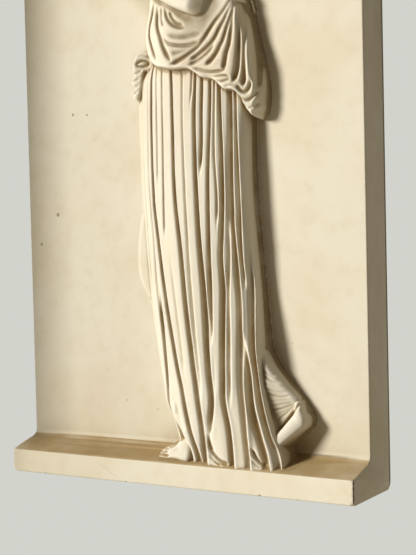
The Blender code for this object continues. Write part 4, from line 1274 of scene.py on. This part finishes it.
def painted_plaster():
    """Cream oil paint on gypsum plaster, aged by dust, hands and knocks, with painted shade and highlights.
    """
    material = bpy.data.materials.new("painted_plaster")
    material.use_nodes = True
    tree = material.node_tree
    shader = tree.nodes["Principled BSDF"]
    here = node(tree, "TexCoord", output="Object")
    x, y, z = node(tree, "SeparateXYZ", (here,)).node.outputs
    normal = node(tree, "SeparateXYZ", (here.node.outputs["Normal"],)).node.outputs
    hollow = node(tree, "Attribute", output="Fac", attribute_name="hollow")
    sky = node(tree, "AmbientOcclusion", {"Distance": NOOK_REACH}, "AO", samples=8)
    nook = node(tree, "Math", (1.0, sky), operation="SUBTRACT")
    pattern = {}
    for name, (size, detail, roughness) in PATTERNS.items():
        fineness = {"Scale": 1 / (size * MM), "Detail": detail, "Roughness": roughness}
        pattern[name] = node(tree, "TexNoise", {"Vector": here, **fineness})

    chip_x, chip_y = solid_high.x - CHIPPED_ARRIS, CHIPPED_ARRIS - PANEL_THICKNESS - LEDGE_DEPTH
    # Each soft step: what it reads, where it starts and ends, and its level before and after
    steps = {
        "cream": (pattern["cream"], 0.42, 0.68, 0.0, 0.7),
        "pink": (pattern["pink"], 0.52, 0.72, 0.0, 0.5),
        "mottling": (pattern["mottling"], 0.45, 0.75, 0.0, 0.35),
        # Ridges, where the paint is paler both as worn paint and as a painted highlight
        "on_ridges": (hollow, 0.0, -0.4, 0.0, 0.7),
        # Hollows, darkened both as dust and as painted shade
        "in_folds": (hollow, 0.05, 0.6, 0.0, 1.0),
        "fold_blotches": (pattern["blotches"], 0.3, 0.6, 0.55, 0.9),
        # Corners, darkened both as dust and as painted shade
        "in_corners": (nook, 0.12, 0.62, 0.0, 1.0),
        "corner_blotches": (pattern["blotches"], 0.3, 0.7, 0.6, 0.9),
        "upward": (normal["Z"], 0.58, 0.68, 0.0, 1.0),
        "dust_patches": (pattern["dust"], 0.3, 0.7, 0.6, 0.95),
        "low_down": (z, *LEDGE_DUST, 1.0, HIGHER_DUST),
        "on_front": (normal["Y"], -0.2, 0.2, 1.0, 0.0),
        # Beside the wall, darkened both as grime and as a painted contact shadow
        "beside_wall": (y, *WALL_GRIME_AND_SHADOW, 0.0, 1.0),
        "off_back": (normal["Y"], 0.7, 0.95, 0.75, 0.0),
        "right_arris": (x, chip_x, chip_x + CHIP_FADES[0] * CHIPPED_ARRIS, 0.0, 1.0),
        "front_arris": (y, chip_y, chip_y + CHIP_FADES[1] * CHIPPED_ARRIS, 1.0, 0.0),
        "chips": (pattern["chips"], 0.38, 0.55, 0.0, 1.0),
        "gloss": (pattern["gloss"], 0.3, 0.7, 0.55, 0.68),
    }
    level = {}
    for name, step in steps.items():
        level[name] = node(tree, "MapRange", step, interpolation_type="SMOOTHSTEP")
    level["marks"] = node(tree, "Math", (all_marks(tree, here), level["on_front"]), operation="MULTIPLY")

    colour = srgb("#E9E1CC")
    for coat, (code, first, *others) in COATS.items():
        share = level[first]
        for other in others:
            share = node(tree, "Math", (share, level.get(other, other)), operation="MULTIPLY")
        colour = node(tree, "Mix", {0: share, 6: colour, 7: srgb(code)}, 2, data_type="RGBA")
        # The share of brown in the hollows, dust and painted shade, also makes the paint rougher
        if coat == "dust_and_shade_in_folds":
            dust_and_shade_share = share
    tree.links.new(colour, shader.inputs["Base Color"])

    duller = node(tree, "Math", (dust_and_shade_share, DUST_ROUGHNESS), operation="MULTIPLY")
    dull = node(tree, "Math", (level["gloss"], duller), operation="ADD")
    tree.links.new(dull, shader.inputs["Roughness"])
    shader.inputs["Specular IOR Level"].default_value = SHINE

    dents = node(tree, "Math", (level["marks"], MARK_DEPTH), operation="MULTIPLY")
    skin = node(tree, "Math", (pattern["skin"], dents), operation="ADD")
    bump = node(tree, "Bump", {"Height": skin, "Strength": SKIN_STRENGTH, "Distance": SKIN_DEPTH})
    tree.links.new(bump, shader.inputs["Normal"])
    return material


relief.data.materials.clear()
relief.data.materials.append(painted_plaster())
print("painted plaster:", len(COATS), "coats and", len(PATTERNS), "patterns")

# %% [markdown]
# ## Floor, light and camera
#
# The relief is shown in a plain room: a pale floor well below it, one soft window light from the left, a
# little light sent back by a pale wall on its right, a light for its back, and a weak even fill. Two panels
# before the window, as its frame would be, keep the light off the left edge, and the camera can't see them.
# An area light is used and not a sun, because a window's width is what makes the shadows in the folds soft.

# %% Floor
# How far the floor reaches from its middle, and how far it lies below the relief's middle
FLOOR_RADIUS = 3.4
FLOOR_DROP = 2.0


def add_floor():
    bpy.ops.mesh.primitive_circle_add(
        vertices=96, radius=FLOOR_RADIUS, fill_type="NGON", location=(0, 0, -FLOOR_DROP),
    )
    floor = bpy.context.object
    floor.name = "studio_floor"
    material = bpy.data.materials.new("studio_floor")
    material.use_nodes = True
    shader = material.node_tree.nodes["Principled BSDF"]
    shader.inputs["Base Color"].default_value = srgb("#CFC8B8")
    shader.inputs["Roughness"].default_value = 0.8
    floor.data.materials.append(material)
    floor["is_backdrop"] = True


add_floor()
print("a pale floor", FLOOR_DROP, "m below the relief's middle")

# %% Lights
# The window's direction from the relief, as an angle to its left and one upwards, and its distance
KEY_ANGLE, KEY_RISE = math.radians(42), math.radians(14)
KEY_DISTANCE = 5.0
key_way = Vector((-math.sin(KEY_ANGLE), -math.cos(KEY_ANGLE), math.tan(KEY_RISE))).normalized()
# Each light's shape, colour, place, what it is turned to, its width and height in metres, and its watts
LIGHTS = {
    "window": ("ELLIPSE", "#FFFDF8", key_way * KEY_DISTANCE, (0, 0, 0), (1.3, 1.4), 357),
    "wall_bounce": ("RECTANGLE", "#F6F0E2", Vector((1.2, 0.42, -0.1)), (0.21, 0.0, -0.1), (0.5, 1.4), 2.1),
    "behind": ("RECTANGLE", "#F6F0E2", Vector((-1.1, 2.6, 0.9)), (0, 0, 0), (1.6, 1.6), 60),
}
# How far each flag stands in front of the face, and the x on the face where its shade ends
FLAGS = ((0.40, -0.168), (1.8, -0.28))
FLAG_SIZE = (1.0, 2.4)


def add_lights():
    for name, (shape, code, place, target, size, power) in LIGHTS.items():
        light = bpy.data.lights.new(name, "AREA")
        light.shape = shape
        light.size, light.size_y = size
        light.energy = power
        light.color = srgb(code)[:3]
        lamp = bpy.data.objects.new(name, light)
        lamp.location = place
        lamp.rotation_euler = (place - Vector(target)).to_track_quat("Z", "Y").to_euler()
        bpy.context.scene.collection.objects.link(lamp)


def add_flags():
    """Panels square across the window's light, which shade the relief's left edge."""
    across = Vector((-math.cos(KEY_ANGLE), math.sin(KEY_ANGLE), 0))
    for distance, edge in FLAGS:
        bpy.ops.mesh.primitive_plane_add(size=1)
        flag = bpy.context.object
        flag.name = "studio_flag"
        flag.scale = (*FLAG_SIZE, 1)
        flag.rotation_euler = key_way.to_track_quat("Z", "Y").to_euler()
        shaded = Vector((edge, -PANEL_THICKNESS, 0))
        to_window = (key_way * KEY_DISTANCE - shaded).normalized()
        flag.location = shaded + to_window * distance + across * FLAG_SIZE[0] / 2
        flag.visible_camera = False
        flag.visible_diffuse = False
        flag.visible_glossy = False
        flag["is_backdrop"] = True


add_lights()
add_flags()
print(len(LIGHTS), "lights and", len(FLAGS), "flags")

# %% Fill and backdrop
FILL = 0.105


def add_world():
    """A weak even fill for the shadows, and a pale backdrop where the camera sees past the relief."""
    world = bpy.data.worlds.new("studio")
    bpy.context.scene.world = world
    world.use_nodes = True
    tree = world.node_tree
    tree.nodes.clear()
    fill = node(tree, "Background", {"Color": srgb("#FFEFD2"), "Strength": FILL})
    backdrop = node(tree, "Background", {"Color": srgb("#D2D3CC"), "Strength": 1.0})
    seen = node(tree, "LightPath", output="Is Camera Ray")
    mix = node(tree, "MixShader", (seen, fill, backdrop))
    surface = tree.nodes.new("ShaderNodeOutputWorld").inputs["Surface"]
    tree.links.new(mix, surface)
    bpy.context.scene.view_settings.view_transform = "Standard"


add_world()
print("even fill", FILL)

# %% [markdown]
# ## The camera
#
# It stands to the right of the relief, a little below its middle, and looks to the left and slightly down,
# as in the photograph. Its place, turn and focal length were found by matching the panel's corners.

# %% The camera
CAMERA_PLACE = Vector((0.7018, -1.1587, -0.1337))
YAW, PITCH, ROLL = (math.radians(angle) for angle in (31.258, -2.395, 1.338))
FOCAL_PIXELS = 1234
FRAME_HEIGHT_PIXELS = 555
SENSOR_MM = 36


def add_camera():
    data = bpy.data.cameras.new("camera")
    data.sensor_width = SENSOR_MM
    data.lens = FOCAL_PIXELS / FRAME_HEIGHT_PIXELS * SENSOR_MM
    camera = bpy.data.objects.new("camera", data)
    turn = (
        Matrix.Rotation(YAW, 4, "Z")
        @ Matrix.Rotation(math.radians(90) + PITCH, 4, "X")
        @ Matrix.Rotation(-ROLL, 4, "Z")
    )
    camera.matrix_world = Matrix.Translation(CAMERA_PLACE) @ turn
    bpy.context.scene.collection.objects.link(camera)
    bpy.context.scene.camera = camera


add_camera()
print("the camera is", round(CAMERA_PLACE.length, 2), "m from the relief's middle")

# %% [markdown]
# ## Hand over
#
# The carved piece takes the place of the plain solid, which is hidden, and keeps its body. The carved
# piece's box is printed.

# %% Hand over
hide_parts("wall_relief")
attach(relief, "root")
low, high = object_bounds()
print("visual model:", [round(1000 * (b - a), 1) for a, b in zip(low, high)], "mm")
